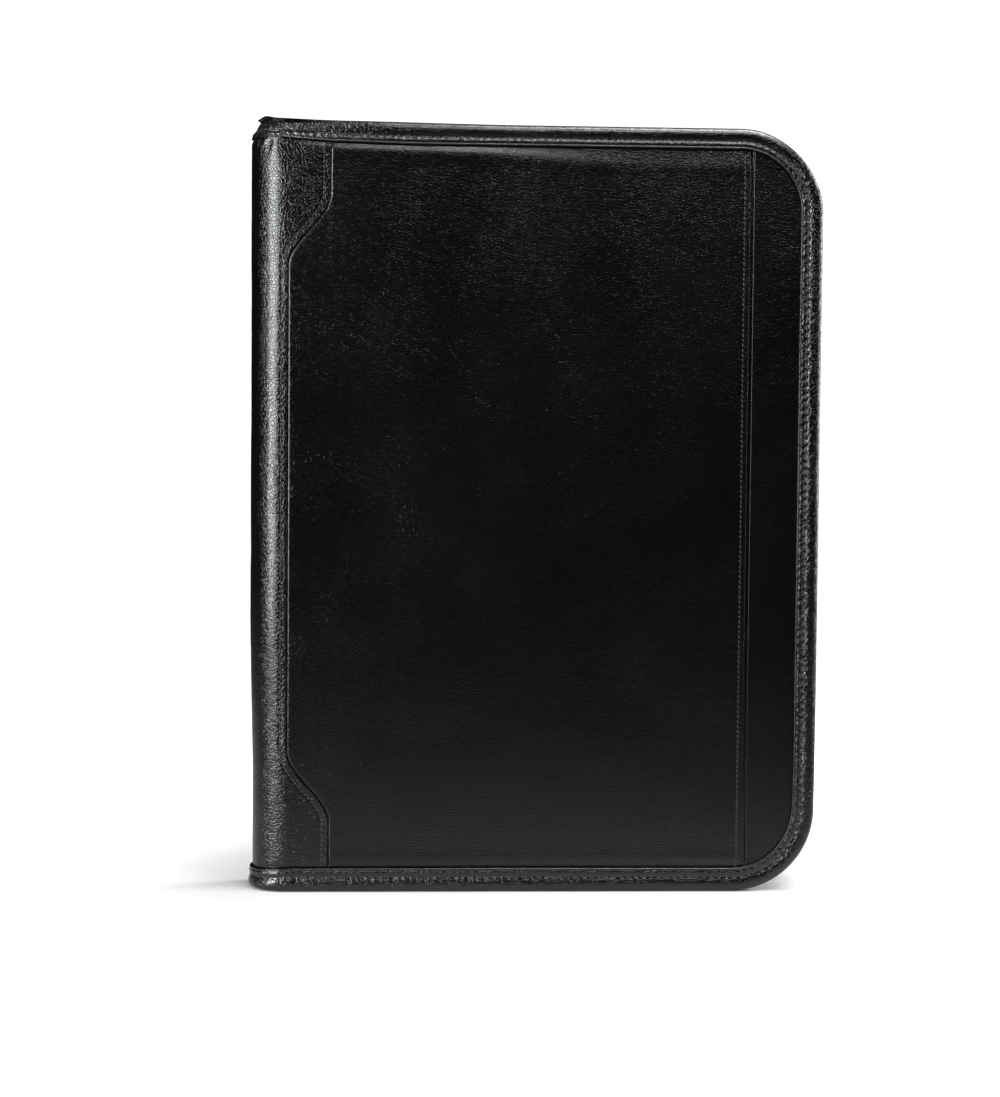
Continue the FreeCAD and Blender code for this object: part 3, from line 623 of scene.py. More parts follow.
def shell(t, z, depth, back, grain_shift=0.0, wave=None):
    """A closed sheet: its face at depth, then back down its other side with fewer points."""
    nv = t.shape[1]
    picks = np.unique(np.r_[np.arange(nv - 1, -1, -7), 0])[::-1]
    face = wrap(t, z, depth)
    rear = wrap(t[:, picks], z[:, picks], np.broadcast_to(back, t.shape)[:, picks])
    points = np.concatenate([face, rear], 1)
    all_t = np.concatenate([t, t[:, picks]], 1)
    all_z = np.concatenate([z, z[:, picks]], 1)
    return points, np.stack([all_t, all_z, np.full(all_t.shape, grain_shift)], -1)


def crossing(name, points, grain, cuts, flip, material, slot, nodes):
    """Splits a skin that crosses the spine at its strip middles, and bakes each part's placement into its mesh."""
    normals = grid_normals(points, close_v=True, flip=flip)
    ends = [0, *cuts, len(points) - 1]
    for k in range(5):
        part = slice(ends[k], ends[k + 1] + 1)
        shape = Shape().grid(points[part], close_v=True, flip=flip, grain=grain[part], normals=normals[part])
        obj = shape.piece(f"{name}_{k + 1}", material, slot)
        bend(obj)
        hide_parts(*nodes[k])


def rows_between(low, high, count, edge=1.0):
    """Heights from low to high, closer together near both ends."""
    f = np.linspace(-1, 1, count)
    f = np.sign(f) * (1 - (1 - np.abs(f)) ** edge)
    f = (f + 1) / 2
    return low[..., None] + (high - low)[..., None] * f


def overlay_reach(z):
    """How far the spine leather reaches onto a cover at height z."""
    from_end = np.minimum(z, HEIGHT - z)
    return 19 - 18.6 * rise(from_end, 31.5, 63)


def edge_normal(z):
    """Direction from the spine leather's edge towards the spine, in (t, z)."""
    slope_z = (overlay_reach(z + 0.1) - overlay_reach(z - 0.1)) / 0.2
    size = np.sqrt(1 + slope_z ** 2)
    return 1 / size, slope_z / size


def tucked(depth, z, under, reach=5.0, low=LEG + LOWER_EXTRA, high=HEIGHT - LEG):
    """The hide goes down to depth under where it runs below the binding's lip."""
    inside = np.minimum(z - low, high - z)
    return under + (depth - under) * rise(inside, -0.8, reach)


OVERLAY_EDGE = [
    (0.9, -0.55), (0.3, -0.5), (0.02, -0.42), (0.04, -0.25), (0.12, -0.1), (0.26, 0.01), (0.45, 0.06),
    (0.75, 0.07), (1.2, 0.03), (1.7, -0.03), (2.1, -0.07), (2.4, -0.11), (2.8, -0.11), (3.1, -0.07),
    (3.5, -0.03), (4.1, 0.01), (5.0, 0.02), (6.2, 0.0),
]


def spine_leather():
    nv = 260
    z = rows_between(np.array([5.2]), np.array([HEIGHT - 3.6]), nv, 1.25)[0]
    reach = overlay_reach(z)
    nt, nz = edge_normal(z)
    columns_t, columns_z, offsets = [], [], []
    for c, off in OVERLAY_EDGE:
        columns_t.append(-reach + c * nt)
        columns_z.append(z + c * nz * rise(np.minimum(z, HEIGHT - z), 8, 30))
        offsets.append(np.full(nv, off))
    first_t, first_z = columns_t[-1], columns_z[-1]
    target = STRIP_MIDDLES[0]
    steps = np.linspace(0, 1, 19)[1:]
    for f in steps:
        columns_t.append(first_t + (target - first_t) * f)
        columns_z.append(first_z + (z - first_z) * f)
        offsets.append(np.zeros(nv))
    per_strip = 22
    for t in np.linspace(STRIP_MIDDLES[0], HALF_TURN / 2, per_strip + per_strip // 2 + 1)[1:]:
        columns_t.append(np.full(nv, t))
        columns_z.append(z)
        offsets.append(np.zeros(nv))
    half = len(columns_t)
    t = np.array(columns_t + [HALF_TURN - c for c in columns_t[-2::-1]])
    zz = np.array(columns_z + columns_z[-2::-1])
    offset = np.array(offsets + offsets[-2::-1])
    angle = np.clip(t / HIDE, 0, PI)
    depth = 16.3 + (0.3 - 1.15 * (1 - rise(zz, 50, 125))) * np.sin(angle) ** 0.7 + offset
    depth = depth + 0.10 * noise(t, zz, 26, 21) + 0.05 * noise(t, zz, 8, 22) + 0.018 * noise(t, zz, 2.2, 23)
    depth = depth - 0.06 * creases(t, zz, 17, 24) * (offset > -0.2)
    # The hide dives under the binding at the upper end, in small folds that fan out below it.
    lip = HEIGHT - LEG + upper_lift(t)
    top = np.maximum(lip - zz, 0)
    for mirrored in (t, HALF_TURN - t):
        depth = depth - 0.5 * rise(mirrored, -5, 6) * (1 - rise(mirrored, 8, 20)) * rise(
            zz, HEIGHT - 120, HEIGHT - 60)
        dished = rise(mirrored, -9, 0) * (1 - rise(mirrored, 10, 17))
        depth = depth - 0.75 * dished * (1 - rise(top, -3.0, 10.0))
        depth = depth - 0.3 * bell(mirrored - (8.2 + top * 0.12), 1.3) * bell(top, 6.0)
        depth = depth + 0.2 * bell(mirrored - (5.6 - top * 0.1), 1.1) * bell(top, 7.0)
        depth = depth + 0.2 * bell(mirrored - (10.8 + top * 0.3), 1.2) * bell(top, 6.0)
        depth = depth - 0.2 * bell(mirrored - (13.4 + top * 0.35), 1.1) * bell(top, 7.0)
    depth = tucked(depth, zz, 15.3, 3.2, LEG + LOWER_EXTRA - lower_drop(t), lip)
    points, grain = shell(t, zz, depth, 15.12, 3.0)
    cut_1 = half - 1 - (per_strip + per_strip // 2)
    cut_2 = cut_1 + per_strip
    cuts = [cut_1, cut_2, len(t) - 1 - cut_2, len(t) - 1 - cut_1]
    crossing("spine_leather", points, grain, cuts, True, SPINE, "spine_leather", [
        ["front_spine_overlay"], ["spine_overlay_1"], ["spine_overlay_2"], ["spine_overlay_3"],
        ["spine_overlay_4", "rear_spine_overlay"]])
    # Stitches along both shaped edges.
    row = 12
    inside = (zz[row] > LEG + 1.5) & (zz[row] < HEIGHT - LEG - 0.5)
    for label, column, crease in (("front", row, 0), ("rear", len(t) - 1 - row, 4)):
        line = wrap(t, zz, depth)[column][inside]
        centres, along = spaced(line, SMALL_PITCH)
        ahead = wrap(t[column], zz[column], depth[column] + 1)[inside] - line
        out = np.stack([np.interp(centres[:, 2], line[:, 2], ahead[:, k]) for k in range(3)], -1)
        sewn = stitches(f"spine_leather_stitches_{label}", centres + unit(out) * 0.08, along, out,
                        0.2 if label == "front" else -0.2, SMALL_STITCH)
        bend(sewn)


spine_leather()


def cover_columns(start, stop_inset, step=2.4, lead=()):
    """x of a cover panel's columns, from start to the outer edge, closer together in the corners."""
    straight = np.arange(start, ARC_X, step)
    radius = CORNER - stop_inset
    arc = ARC_X + radius * np.sin(np.linspace(0, PI / 2, 24))
    return np.concatenate([np.asarray(lead, float), straight, arc])


def relief(x, z, seed):
    """The gentle unevenness of leather over thin foam."""
    return (0.10 * noise(x, z, 70, seed) + 0.035 * noise(x, z, 23, seed + 1)
            + 0.02 * noise(x, z, 8, seed + 2) + 0.012 * noise(x, z, 2.6, seed + 3)
            - 0.05 * creases(x, z, 26, seed + 4))


PANEL_EDGE = [
    (-1.2, -0.75), (-0.6, -0.74), (-0.2, -0.7), (0.1, -0.58), (0.35, -0.36), (0.6, -0.14), (0.95, -0.02),
    (1.6, 0.02), (3.0, 0.03), (6.0, 0.02), (8.5, 0.0),
]
MOUTH_EDGE = [
    (6.5, 0.0), (5.2, 0.02), (4.4, 0.02), (3.8, 0.01), (3.3, -0.03), (2.95, -0.11), (2.6, -0.16),
    (2.25, -0.11), (1.95, -0.04), (1.5, 0.02), (1.1, 0.06), (0.75, 0.06), (0.5, 0.02), (0.32, -0.06),
    (0.17, -0.18), (0.06, -0.36), (0.0, -0.7), (0.3, -1.0),
]


def cover_panel(name, side, mouth, seed, nodes):
    """A cover's padded leather, from under the spine leather to the pocket's mouth or to the binding."""
    nv = 190
    z_low, z_high = np.array([5.0]), np.array([HEIGHT - 5.0])
    base = rows_between(z_low, z_high, nv, 1.3)[0]
    nt, nz = edge_normal(base)
    xs, zs, offsets = [], [], []
    for c, off in PANEL_EDGE:
        xs.append(HINGE + overlay_reach(base) + c * nt)
        zs.append(base - c * nz * rise(np.minimum(base, HEIGHT - base), 8, 30))
        offsets.append(np.full(nv, off))
    end_x, end_z = xs[-1], zs[-1]
    start = HINGE + 34.0
    for f in np.linspace(0, 1, 9)[1:]:
        xs.append(end_x + (start - end_x) * f)
        zs.append(end_z + (base - end_z) * f)
        offsets.append(np.zeros(nv))
    if mouth:
        straight = np.arange(start + 2.2, mouth - 7, 2.2)
        tail = [(mouth - c, off) for c, off in MOUTH_EDGE]
    else:
        straight = cover_columns(start + 2.2, 5.0, 2.4)
        tail = []
    for x, off in [(x, 0.0) for x in straight] + tail:
        low, high = outline_ends(x, 5.0)
        xs.append(np.full(nv, x))
        zs.append(rows_between(np.array([low]), np.array([high]), nv, 1.3)[0])
        offsets.append(np.full(nv, off))
    x, z, offset = np.array(xs), np.array(zs), np.array(offsets)
    low, high = outline_ends(np.minimum(x, RIGHT - LEG - 0.01), LEG)
    low = low + LOWER_EXTRA
    high = high + upper_lift(HINGE - x)
    calm = 1 - 0.8 * bell(x - mouth, 5) if mouth else 1.0
    depth = 16.1 + offset + relief(x, z, seed) * calm
    crown = rise(np.minimum(z - low, high - z), 0, 70) * rise(RIGHT - LEG - x, 0, 60)
    depth = depth + 0.22 * crown
    depth = depth - 0.4 * bell(high - z, 17) * rise(x, 0, 60) * (side < 0)
    inside = np.minimum(np.minimum(z - low, high - z), RIGHT - LEG - x if not mouth else 1e3)
    reach = 3.6 + 4.4 * rise(x, -50, 40) * rise(z, HEIGHT / 2, HEIGHT - 40)
    depth = 15.12 + (depth - 15.12) * rise(inside, -0.8, reach)
    depth = depth + 0.12 * bell(inside - reach - 1, 2.5) * (offset > -0.3)
    t = -(x - HINGE) if side < 0 else HALF_TURN + (x - HINGE)
    points, grain = shell(t, z, depth, 15.0, seed)
    shape = Shape().grid(points, close_v=True, flip=side > 0, grain=grain,
                         normals=grid_normals(points, close_v=True, flip=side > 0))
    obj = shape.piece(name, COVER, "cover_leather")
    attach(obj, "front_cover" if side < 0 else "rear_cover")
    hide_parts(*nodes)
    if mouth:
        column = len(x) - len(MOUTH_EDGE) + 6
        inner = (z[column] > LEG + 1.5) & (z[column] < HEIGHT - LEG - 1.5)
        line = wrap(t, z, depth)[column][inner]
        centres, along = spaced(line, SMALL_PITCH)
        out = np.tile([0.0, side, 0.0], (len(centres), 1))
        sewn = stitches(f"{name}_stitches", centres + out * 0.08, along, out, 0.3, SMALL_STITCH)
        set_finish(sewn, "cover_leather")
        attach(sewn, "front_cover")
    return obj


MOUTH = node_box("front_slip_pocket")[1][0]
cover_panel("slip_pocket", -1, MOUTH, 31, ["front_slip_pocket"])
cover_panel("rear_panel", 1, None, 51, ["rear_skin"])


def front_skin():
    """The cover's own leather, seen beside the slip pocket and inside its mouth."""
    nv = 150
    lead = np.concatenate([np.arange(HINGE + 2, MOUTH - 12, 9), np.arange(MOUTH - 12, ARC_X, 1.3)])
    x = cover_columns(1e3, 5.0, lead=lead[lead < ARC_X - 0.6])
    x = np.unique(np.concatenate([x, MOUTH + np.array([-0.6, 0.2, 0.8, 1.2, 1.35, 1.5, 1.65, 1.8, 2.2])]))
    low, high = outline_ends(x, 5.0)
    z = rows_between(low, high, nv, 1.3)
    x = np.repeat(x[:, None], nv, 1)
    lip_low, lip_high = outline_ends(np.minimum(x, RIGHT - LEG - 0.01), LEG)
    lip_low = lip_low + LOWER_EXTRA
    inside = np.minimum(np.minimum(z - lip_low, lip_high - z), RIGHT - LEG - x)
    depth = 14.95 + 0.32 * rise(x, MOUTH + 0.5, MOUTH + 15) + 0.5 * relief(x, z, 71)
    depth = depth + 0.12 * bell(x - MOUTH - 12, 8)
    depth = 15.25 + (depth - 15.25) * rise(inside, -0.8, 3.6)
    # Pressed down beside the pocket's mouth, which leaves a narrow dark gap there.
    depth = 14.4 + (depth - 14.4) * rise(x, MOUTH + 1.2, MOUTH + 1.8)
    t = -(x - HINGE)
    points, grain = shell(t, z, depth, 14.1, 7.0)
    shape = Shape().grid(points, close_v=True, flip=False, grain=grain,
                         normals=grid_normals(points, close_v=True))
    obj = shape.piece("front_panel", COVER, "cover_leather")
    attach(obj, "front_cover")
    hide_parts("front_skin")


front_skin()


# ---------------------------------------------------------------- lining and inside pieces

def lining():
    nv = 150
    x = cover_columns(HINGE + 3.0, 5.0, 3.2)
    low, high = outline_ends(x, 5.0)
    cover_z = rows_between(low, high, nv, 1.15)
    t_spine = np.concatenate([np.linspace(0, STRIP_MIDDLES[0], 9)[:-1],
                              np.linspace(STRIP_MIDDLES[0], STRIP_MIDDLES[3], 49),
                              np.linspace(STRIP_MIDDLES[3], HALF_TURN, 9)[1:]])
    spine_z = rows_between(np.array([5.0]), np.array([HEIGHT - 5.0]), nv, 1.15)
    t = np.concatenate([-(x[::-1] - HINGE), t_spine, HALF_TURN + x - HINGE])
    z = np.concatenate([cover_z[::-1], np.repeat(spine_z, len(t_spine), 0), cover_z])
    t = np.repeat(t[:, None], nv, 1)
    depth = LINING + 0.05 + 0.06 * noise(t, z, 32, 81) + 0.03 * noise(t, z, 9, 82) + 0.03
    points, grain = shell(t, z, depth, LINING + 0.7, 0.0)
    first = len(x) + 8
    cuts = [first, first + 16, first + 32, first + 48]
    crossing("lining", points, grain, cuts, False, FABRIC, "lining_fabric", [
        ["front_lining"], ["spine_lining_1"], ["spine_lining_2"], ["spine_lining_3"],
        ["spine_lining_4", "rear_lining"]])


lining()


def inside_panel(name, node, side, material, slot, hem=9.0, corner=0.0, seed=90, sewn_edge="mouth"):
    """A flat pocket or sleeve: rolled edges, a folded hem along its top and its sewing."""
    low, high = node_box(node)
    near, far = sorted((abs(low[1]), abs(high[1])))
    nu, nv = 96, 90
    f = np.linspace(0, 1, nu)
    x = low[0] + (high[0] - low[0]) * (0.5 - 0.5 * np.cos(PI * f)) ** 1.0
    edges = np.array([0, 0.12, 0.3, 0.6, 1.0, 1.6])
    x = np.concatenate([low[0] + edges, np.linspace(low[0] + 3, high[0] - 3, nu), high[0] - edges[::-1]])
    drop = corner - np.sqrt(np.maximum(corner ** 2 - np.maximum(x - (high[0] - corner), 0) ** 2, 0))
    bottom, top = low[2] + drop, np.full(len(x), high[2])
    z_edges = np.concatenate([edges, [2.6, 3.2, 3.8, 5.0]])
    z_tail = np.array([hem + 2, hem + 0.8, hem + 0.2, hem - 0.4, hem - 1.0, hem - 1.6, hem - 2.6,
                       4.2, 3.0, 2.2, 1.6, 1.0, 0.6, 0.3, 0.12, 0])
    z = []
    for b, h in zip(bottom, top):
        z.append(np.concatenate([b + z_edges, np.linspace(b + 7, h - hem - 4, nv), h - z_tail]))
    z = np.array(z)
    x = np.repeat(x[:, None], z.shape[1], 1)
    from_side = np.minimum(x - low[0], high[0] - x)
    from_bottom = z - bottom[:, None]
    from_top = high[2] - z
    edge = np.minimum(np.minimum(from_side, from_bottom), from_top)
    rounded = np.sqrt(np.clip(1 - (1 - np.clip(edge / 0.9, 0, 1)) ** 2, 0, 1))
    thick = far - near
    step = 0.25 * rise(from_top, hem + 0.3, hem - 0.3)
    groove = -0.22 * bell(from_top - (hem - 1.7), 0.5) - 0.22 * bell(from_bottom - 2.6, 0.6)
    groove = groove - 0.22 * bell(from_side - 2.6, 0.6)
    swell = 0.25 * rise(edge, 2, 26) + 0.09 * noise(x, z, 27, seed) + 0.04 * noise(x, z, 9, seed + 1)
    height = rounded * (thick * 0.82 + step + groove + swell * min(thick, 1))
    depth = far - height
    t = -(x - HINGE) if side < 0 else HALF_TURN + (x - HINGE)
    points, grain = shell(t, z, depth, far + 0.02, seed)
    flip = side < 0
    shape = Shape().grid(points, close_v=True, flip=flip, grain=grain)
    obj = shape.piece(name, material, slot, 50)
    body = "front_cover" if side < 0 else "rear_cover"
    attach(obj, body)
    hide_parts(node)
    # The hem's row of stitches, and the rows that hold the piece down.
    inset = 2.6
    rows = {"hem": np.array([(low[0] + 4, high[2] - hem + 1.7), (high[0] - 4, high[2] - hem + 1.7)])}
    path = [(low[0] + inset, high[2] - 3), (low[0] + inset, low[2] + inset)]
    if corner:
        turn = np.linspace(-PI / 2, 0, 12)
        radius = corner - inset
        path += [(high[0] - corner + radius * math.cos(a), low[2] + corner + radius * math.sin(a))
                 for a in turn]
    else:
        path += [(high[0] - inset, low[2] + inset)]
    path.append((high[0] - inset, high[2] - 3))
    rows["edge"] = np.array(path)
    y = side * (near + 0.18 * thick)
    for label, flat in rows.items():
        line = np.stack([flat[:, 0], np.full(len(flat), y), flat[:, 1]], -1)
        fine = np.concatenate([np.linspace(a, b, 40) for a, b in zip(line[:-1], line[1:])])
        centres, along = spaced(fine)
        out = np.tile([0.0, -side, 0.0], (len(centres), 1))
        centres[:, 1] += -side * 0.02
        sewn = stitches(f"{name}_stitches_{label}", centres, along, out, 0.12)
        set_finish(sewn, slot)
        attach(sewn, body)
    return obj


inside_panel("file_pocket_panel", "file_pocket", -1, POCKET, "pocket_leather", corner=22.0, seed=101)
inside_panel("pad_sleeve_panel", "pad_sleeve", 1, POCKET, "pocket_leather", corner=22.0, seed=111)
for number in (1, 2, 3):
    inside_panel(f"card_pocket_panel_{number}", f"card_pocket_{number}", -1, POCKET, "pocket_leather",
                 hem=6.0, seed=120 + number * 10)


def rounded_path(low, high, radius, inset, per_corner=8):
    """Points round a rounded rectangle, and its outward directions, in (x, z)."""
    points, ways = [], []
    corners = ((high[0] - radius, high[2] - radius, 0), (low[0] + radius, high[2] - radius, 90),
               (low[0] + radius, low[2] + radius, 180), (high[0] - radius, low[2] + radius, 270))
    for k, (cx, cz, start) in enumerate(corners):
        for a in np.radians(np.linspace(start, start + 90, per_corner)):
            way = (math.cos(a), math.sin(a))
            points.append((cx + (radius - inset) * way[0], cz + (radius - inset) * way[1]))
            ways.append(way)
    return np.array(points), np.array(ways)


def window_rim():
    low, high = node_box("window_rim")
    centre, ways = rounded_path(low, high, 6.0, 0)
    # Even steps along the straight runs, so that the rim can carry a slight waviness.
    fine, fine_ways = [], []
    for k in range(len(centre)):
        a, b = centre[k], centre[(k + 1) % len(centre)]
        steps = max(1, int(np.linalg.norm(b - a) / 1.5))
        for f in np.arange(steps) / steps:
            fine.append(a + (b - a) * f)
            fine_ways.append(ways[k] + (ways[(k + 1) % len(centre)] - ways[k]) * f)
    fine, fine_ways = np.array(fine), unit(np.array(fine_ways))
    width = 6.0
    inset = np.array([0, 0.0, 0.25, 0.8, 1.5, 2.1, 2.6, 3.1, 4.4, 5.2, 5.75, 6.0, 6.0, 3.0])
    height = np.array([0, 0.3, 0.62, 0.78, 0.74, 0.5, 0.62, 0.78, 0.8, 0.74, 0.5, 0.2, 0, 0])
    base = low[1]
    edge = fine[:, None] - fine_ways[:, None] * np.minimum(inset, width)[None, :, None]
    wobble = 0.03 * noise(edge[..., 0], edge[..., 1], 6, 131)
    y = base + height[None, :] * (1 + wobble)
    points = np.stack([edge[..., 0], y, edge[..., 1]], -1)
    shape = Shape().grid(points, close_u=True, close_v=True, flip=True)
    obj = shape.piece("window_rim_frame", POCKET, "pocket_leather", 60)
    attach(obj, "front_cover")
    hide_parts("window_rim")
    line = np.stack([fine[:, 0] - fine_ways[:, 0] * 2.1, np.full(len(fine), base + 0.58),
                     fine[:, 1] - fine_ways[:, 1] * 2.1], -1)
    centres, along = spaced(np.concatenate([line, line[:1]]))
    out = np.tile([0.0, 1.0, 0.0], (len(centres), 1))
    sewn = stitches("window_rim_stitches", centres, along, out, 0.12)
    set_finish(sewn, "pocket_leather")
    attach(sewn, "front_cover")


window_rim()


def pen_loop():
    """A ribbed elastic loop, sewn flat to the lining along its back."""
    low, high = node_box("pen_loop")
    cx, half = (low[0] + high[0]) / 2, (high[0] - low[0]) / 2
    radius = half - 0.35
    back, front = low[1], high[1]
    path = []
    for a in np.linspace(PI, 0, 25):
        path.append((cx + radius * math.cos(a), front - radius - 0.4 + radius * math.sin(a)))
    for f in np.linspace(0, 1, 10)[1:]:
        path.append((cx + radius - 0.0 * f, front - radius - 0.4 + (back + 1.4 - front + radius + 0.4) * f))
    for a in np.linspace(0, -PI / 2, 6)[1:]:
        path.append((cx + radius - 0.8 + 0.8 * math.cos(a), back + 1.4 + 0.8 * math.sin(a)))
    for f in np.linspace(0, 1, 8)[1:]:
        path.append((cx + (radius - 0.8) * (1 - 2 * f), back + 0.6))
    for a in np.linspace(-PI / 2, -PI, 6)[1:]:
        path.append((cx - radius + 0.8 + 0.8 * math.cos(a), back + 1.4 + 0.8 * math.sin(a)))
    for f in np.linspace(0, 1, 10)[1:-1]:
        path.append((cx - radius, back + 1.4 + (front - radius - 0.4 - back - 1.4) * f))
    path = np.array(path)
    forward = np.roll(path, -1, 0) - np.roll(path, 1, 0)
    out = unit(np.stack([-forward[:, 1], forward[:, 0]], -1))
    if (out[12] * (0, 1)).sum() < 0:
        out = -out
    z = np.linspace(low[2], high[2], 105)
    rib = 0.07 * np.sin((z - low[2]) * 2 * PI / 1.3)
    edge = np.minimum(z - low[2], high[2] - z)
    full = 0.38 * np.sqrt(np.clip(1 - (1 - np.clip(edge / 0.6, 0, 1)) ** 2, 0.02, 1))
    squeeze = 0.35 * np.cos((z - low[2]) / (high[2] - low[2]) * 2 * PI)
    outer = path[:, None] + out[:, None] * (full + rib + 0.02 - 0.1 * squeeze)[None, :, None]
    inner = path[:, None] - out[:, None] * (full + rib * 0.5)[None, ::-1, None]
    ring = np.concatenate([outer, inner], 1)
    heights = np.concatenate([z, z[::-1]])
    points = np.stack([ring[..., 0], ring[..., 1], np.broadcast_to(heights, ring.shape[:2])], -1)
    steps = np.cumsum(np.linalg.norm(forward, axis=1)) / 2
    grain = np.stack([np.broadcast_to(steps[:, None], ring.shape[:2]), points[..., 2],
                      np.zeros(ring.shape[:2])], -1)
    shape = Shape().grid(points, close_u=True, close_v=True, flip=False, grain=grain)
    obj = shape.piece("pen_loop_band", ELASTIC, "elastic", 70)
    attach(obj, "front_cover")
    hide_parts("pen_loop")


pen_loop()


# ---------------------------------------------------------------- zip

def zip_path(start, stop, inset, step=0.5):
    """Points round the three zipped sides from start (top) to stop (bottom), with inward directions."""
    radius = CORNER - inset
    points, ways = [], []
    for x in np.arange(start, ARC_X, step):
        points.append((x, HEIGHT - inset))
        ways.append((0, -1))
    for a in np.arange(PI / 2, 0, -step / radius):
        points.append((ARC_X + radius * math.cos(a), ARC_HIGH + radius * math.sin(a)))
        ways.append((-math.cos(a), -math.sin(a)))
    for z in np.arange(ARC_HIGH, ARC_LOW, -step):
        points.append((RIGHT - inset, z))
        ways.append((-1, 0))
    for a in np.arange(0, -PI / 2, -step / radius):
        points.append((ARC_X + radius * math.cos(a), ARC_LOW + radius * math.sin(a)))
        ways.append((-math.cos(a), -math.sin(a)))
    for x in np.arange(ARC_X, stop, -step):
        points.append((x, inset))
        ways.append((0, 1))
    return np.array(points), np.array(ways, float)


def resample(points, ways, at):
    steps = np.linalg.norm(np.diff(points, axis=0), axis=1)
    length = np.concatenate([[0], np.cumsum(steps)])
    at = np.clip(at, 0, length[-1])
    mixed = [np.stack([np.interp(at, length, part[:, k]) for k in range(2)], -1) for part in (points, ways)]
    return mixed[0], unit(mixed[1]), length[-1]


def tape(side):
    """Woven zip tape, sewn under the binding's inner leg, with a beaded inner edge."""
    name = "front" if side < 0 else "rear"
    low, high = node_box(f"{name}_zip_tape")
    points, ways = zip_path(low[0] + 0.2, low[0] + 0.2, 8.4, 1.0)
    depth = np.array([9.6, 8.6, 7.6, 6.6, 5.6, 5.2, 4.9, 4.5, 4.0, 3.6, 3.3, 3.15])
    half = np.array([0.3, 0.3, 0.3, 0.3, 0.3, 0.36, 0.42, 0.36, 0.34, 0.38, 0.34, 0.12])
    loop_depth = np.concatenate([depth, depth[::-1]])
    loop_half = np.concatenate([half, -half[::-1]])
    s = np.arange(len(points))[:, None] * 1.0
    wave = 0.10 * noise(s, loop_depth * 1.0, 14, 141 + side) * rise(9.2 - loop_depth, 0, 3)
    at = points[:, None] + ways[:, None] * (loop_half + wave)[..., None]
    body = np.stack([at[..., 0], np.broadcast_to(side * loop_depth, at.shape[:2]), at[..., 1]], -1)
    grain = np.stack(np.broadcast_arrays(s, loop_depth[None, :], loop_half[None, :]), -1)
    obj = Shape().grid(body, close_v=True, flip=side > 0, grain=grain, caps=True).piece(
        f"{name}_tape", TAPE, "zip_tape", 50)
    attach(obj, f"{name}_cover")
    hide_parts(f"{name}_zip_tape")


def coil(side):
    """The coil: one wound filament whose turns reach between the turns of the other side."""
    name = "front" if side < 0 else "rear"
    low, _ = node_box(f"{name}_zip_coil")
    points, ways = zip_path(low[0], node_box(f"{name}_zip_coil")[0][0] + 0.0, 8.4, 0.25)
    pitch, per_turn, round_count = 1.6, 10, 5
    total = np.linalg.norm(np.diff(points, axis=0), axis=1).sum()
    turns = int((total - 12) / pitch)
    k = np.arange(turns * per_turn + 1)
    shift = 0.0 if side < 0 else pitch / 2
    a = 2 * PI * k / per_turn
    s = shift + k * pitch / per_turn - 0.22 * pitch * np.sin(2 * a)
    at, way, _ = resample(points, ways, s)
    swing = np.sin(a)
    reach = 1.85 + 1.03 * np.cos(a)              # the slider's post passes between the two coils
    lift = 0.78 * np.sign(swing) * np.abs(swing) ** 0.7
    centre = np.stack([at[:, 0] + way[:, 0] * lift, side * (reach - 0.05), at[:, 1] + way[:, 1] * lift], -1)
    forward = unit(np.gradient(centre, axis=0))
    guide = np.stack([way[:, 0], np.zeros(len(way)), way[:, 1]], -1)
    sideways = unit(np.cross(forward, guide) + 1e-9)
    upward = np.cross(sideways, forward)
    turn = np.arange(round_count) * 2 * PI / round_count
    thick = 0.33 + 0.10 * np.clip(-np.cos(a), 0, 1) ** 2
    ring = centre[:, None] + (sideways[:, None] * np.cos(turn)[None, :, None]
                              + upward[:, None] * np.sin(turn)[None, :, None]) * thick[:, None, None]
    obj = Shape().grid(ring, close_v=True, flip=True, caps=True).piece(f"{name}_coil", TEETH, "zip_teeth", 80)
    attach(obj, f"{name}_cover")
    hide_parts(f"{name}_zip_coil")


for facing in (-1, 1):
    tape(facing)
    coil(facing)


# ---------------------------------------------------------------- CAD nodes that stay

def dress(node, material, slot, bevel=0.0):
    """A CAD node keeps its shape, with its edges softened and a proper material."""
    obj = frame["nodes"][node]
    obj.data.materials.clear()
    obj.data.materials.append(material)
    if bevel:
        mod = obj.modifiers.new("soft_edges", "BEVEL")
        mod.width, mod.segments, mod.limit_method = bevel * MM, 3, "ANGLE"
    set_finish(obj, slot)


OBJECT_METAL = metal("zip_metal_plain", 0.34, 0.3, "object")
for node in ("zip_slider", "zip_slider_bridge", "zip_pull", "zip_bottom_stop", "front_zip_stop",
             "rear_zip_stop"):
    dress(node, OBJECT_METAL, "zip_metal", 0.25)
for node in ("front_board", "rear_board"):
    dress(node, BOARD, "board")
for node in ["front_foam", "rear_foam"] + [f"spine_padding_{k}" for k in (1, 2, 3, 4)]:
    dress(node, FOAM, "foam")
dress("window_film", FILM, "clear_film")


# ---------------------------------------------------------------- stage, light and camera

def emitter(name, size, place, aim, power, colour=(1, 1, 1)):
    light = bpy.data.lights.new(name, "AREA")
    light.shape, light.size, light.size_y = "RECTANGLE", size[0], size[1]
    light.energy, light.color = power, colour
    obj = bpy.data.objects.new(name, light)
    obj.location = place
    way = np.array(aim, float) - np.array(place, float)
    obj.visible_camera = False
    obj.rotation_euler = Vector(way).to_track_quat("-Z", "Y").to_euler()
    bpy.context.scene.collection.objects.link(obj)
    return obj


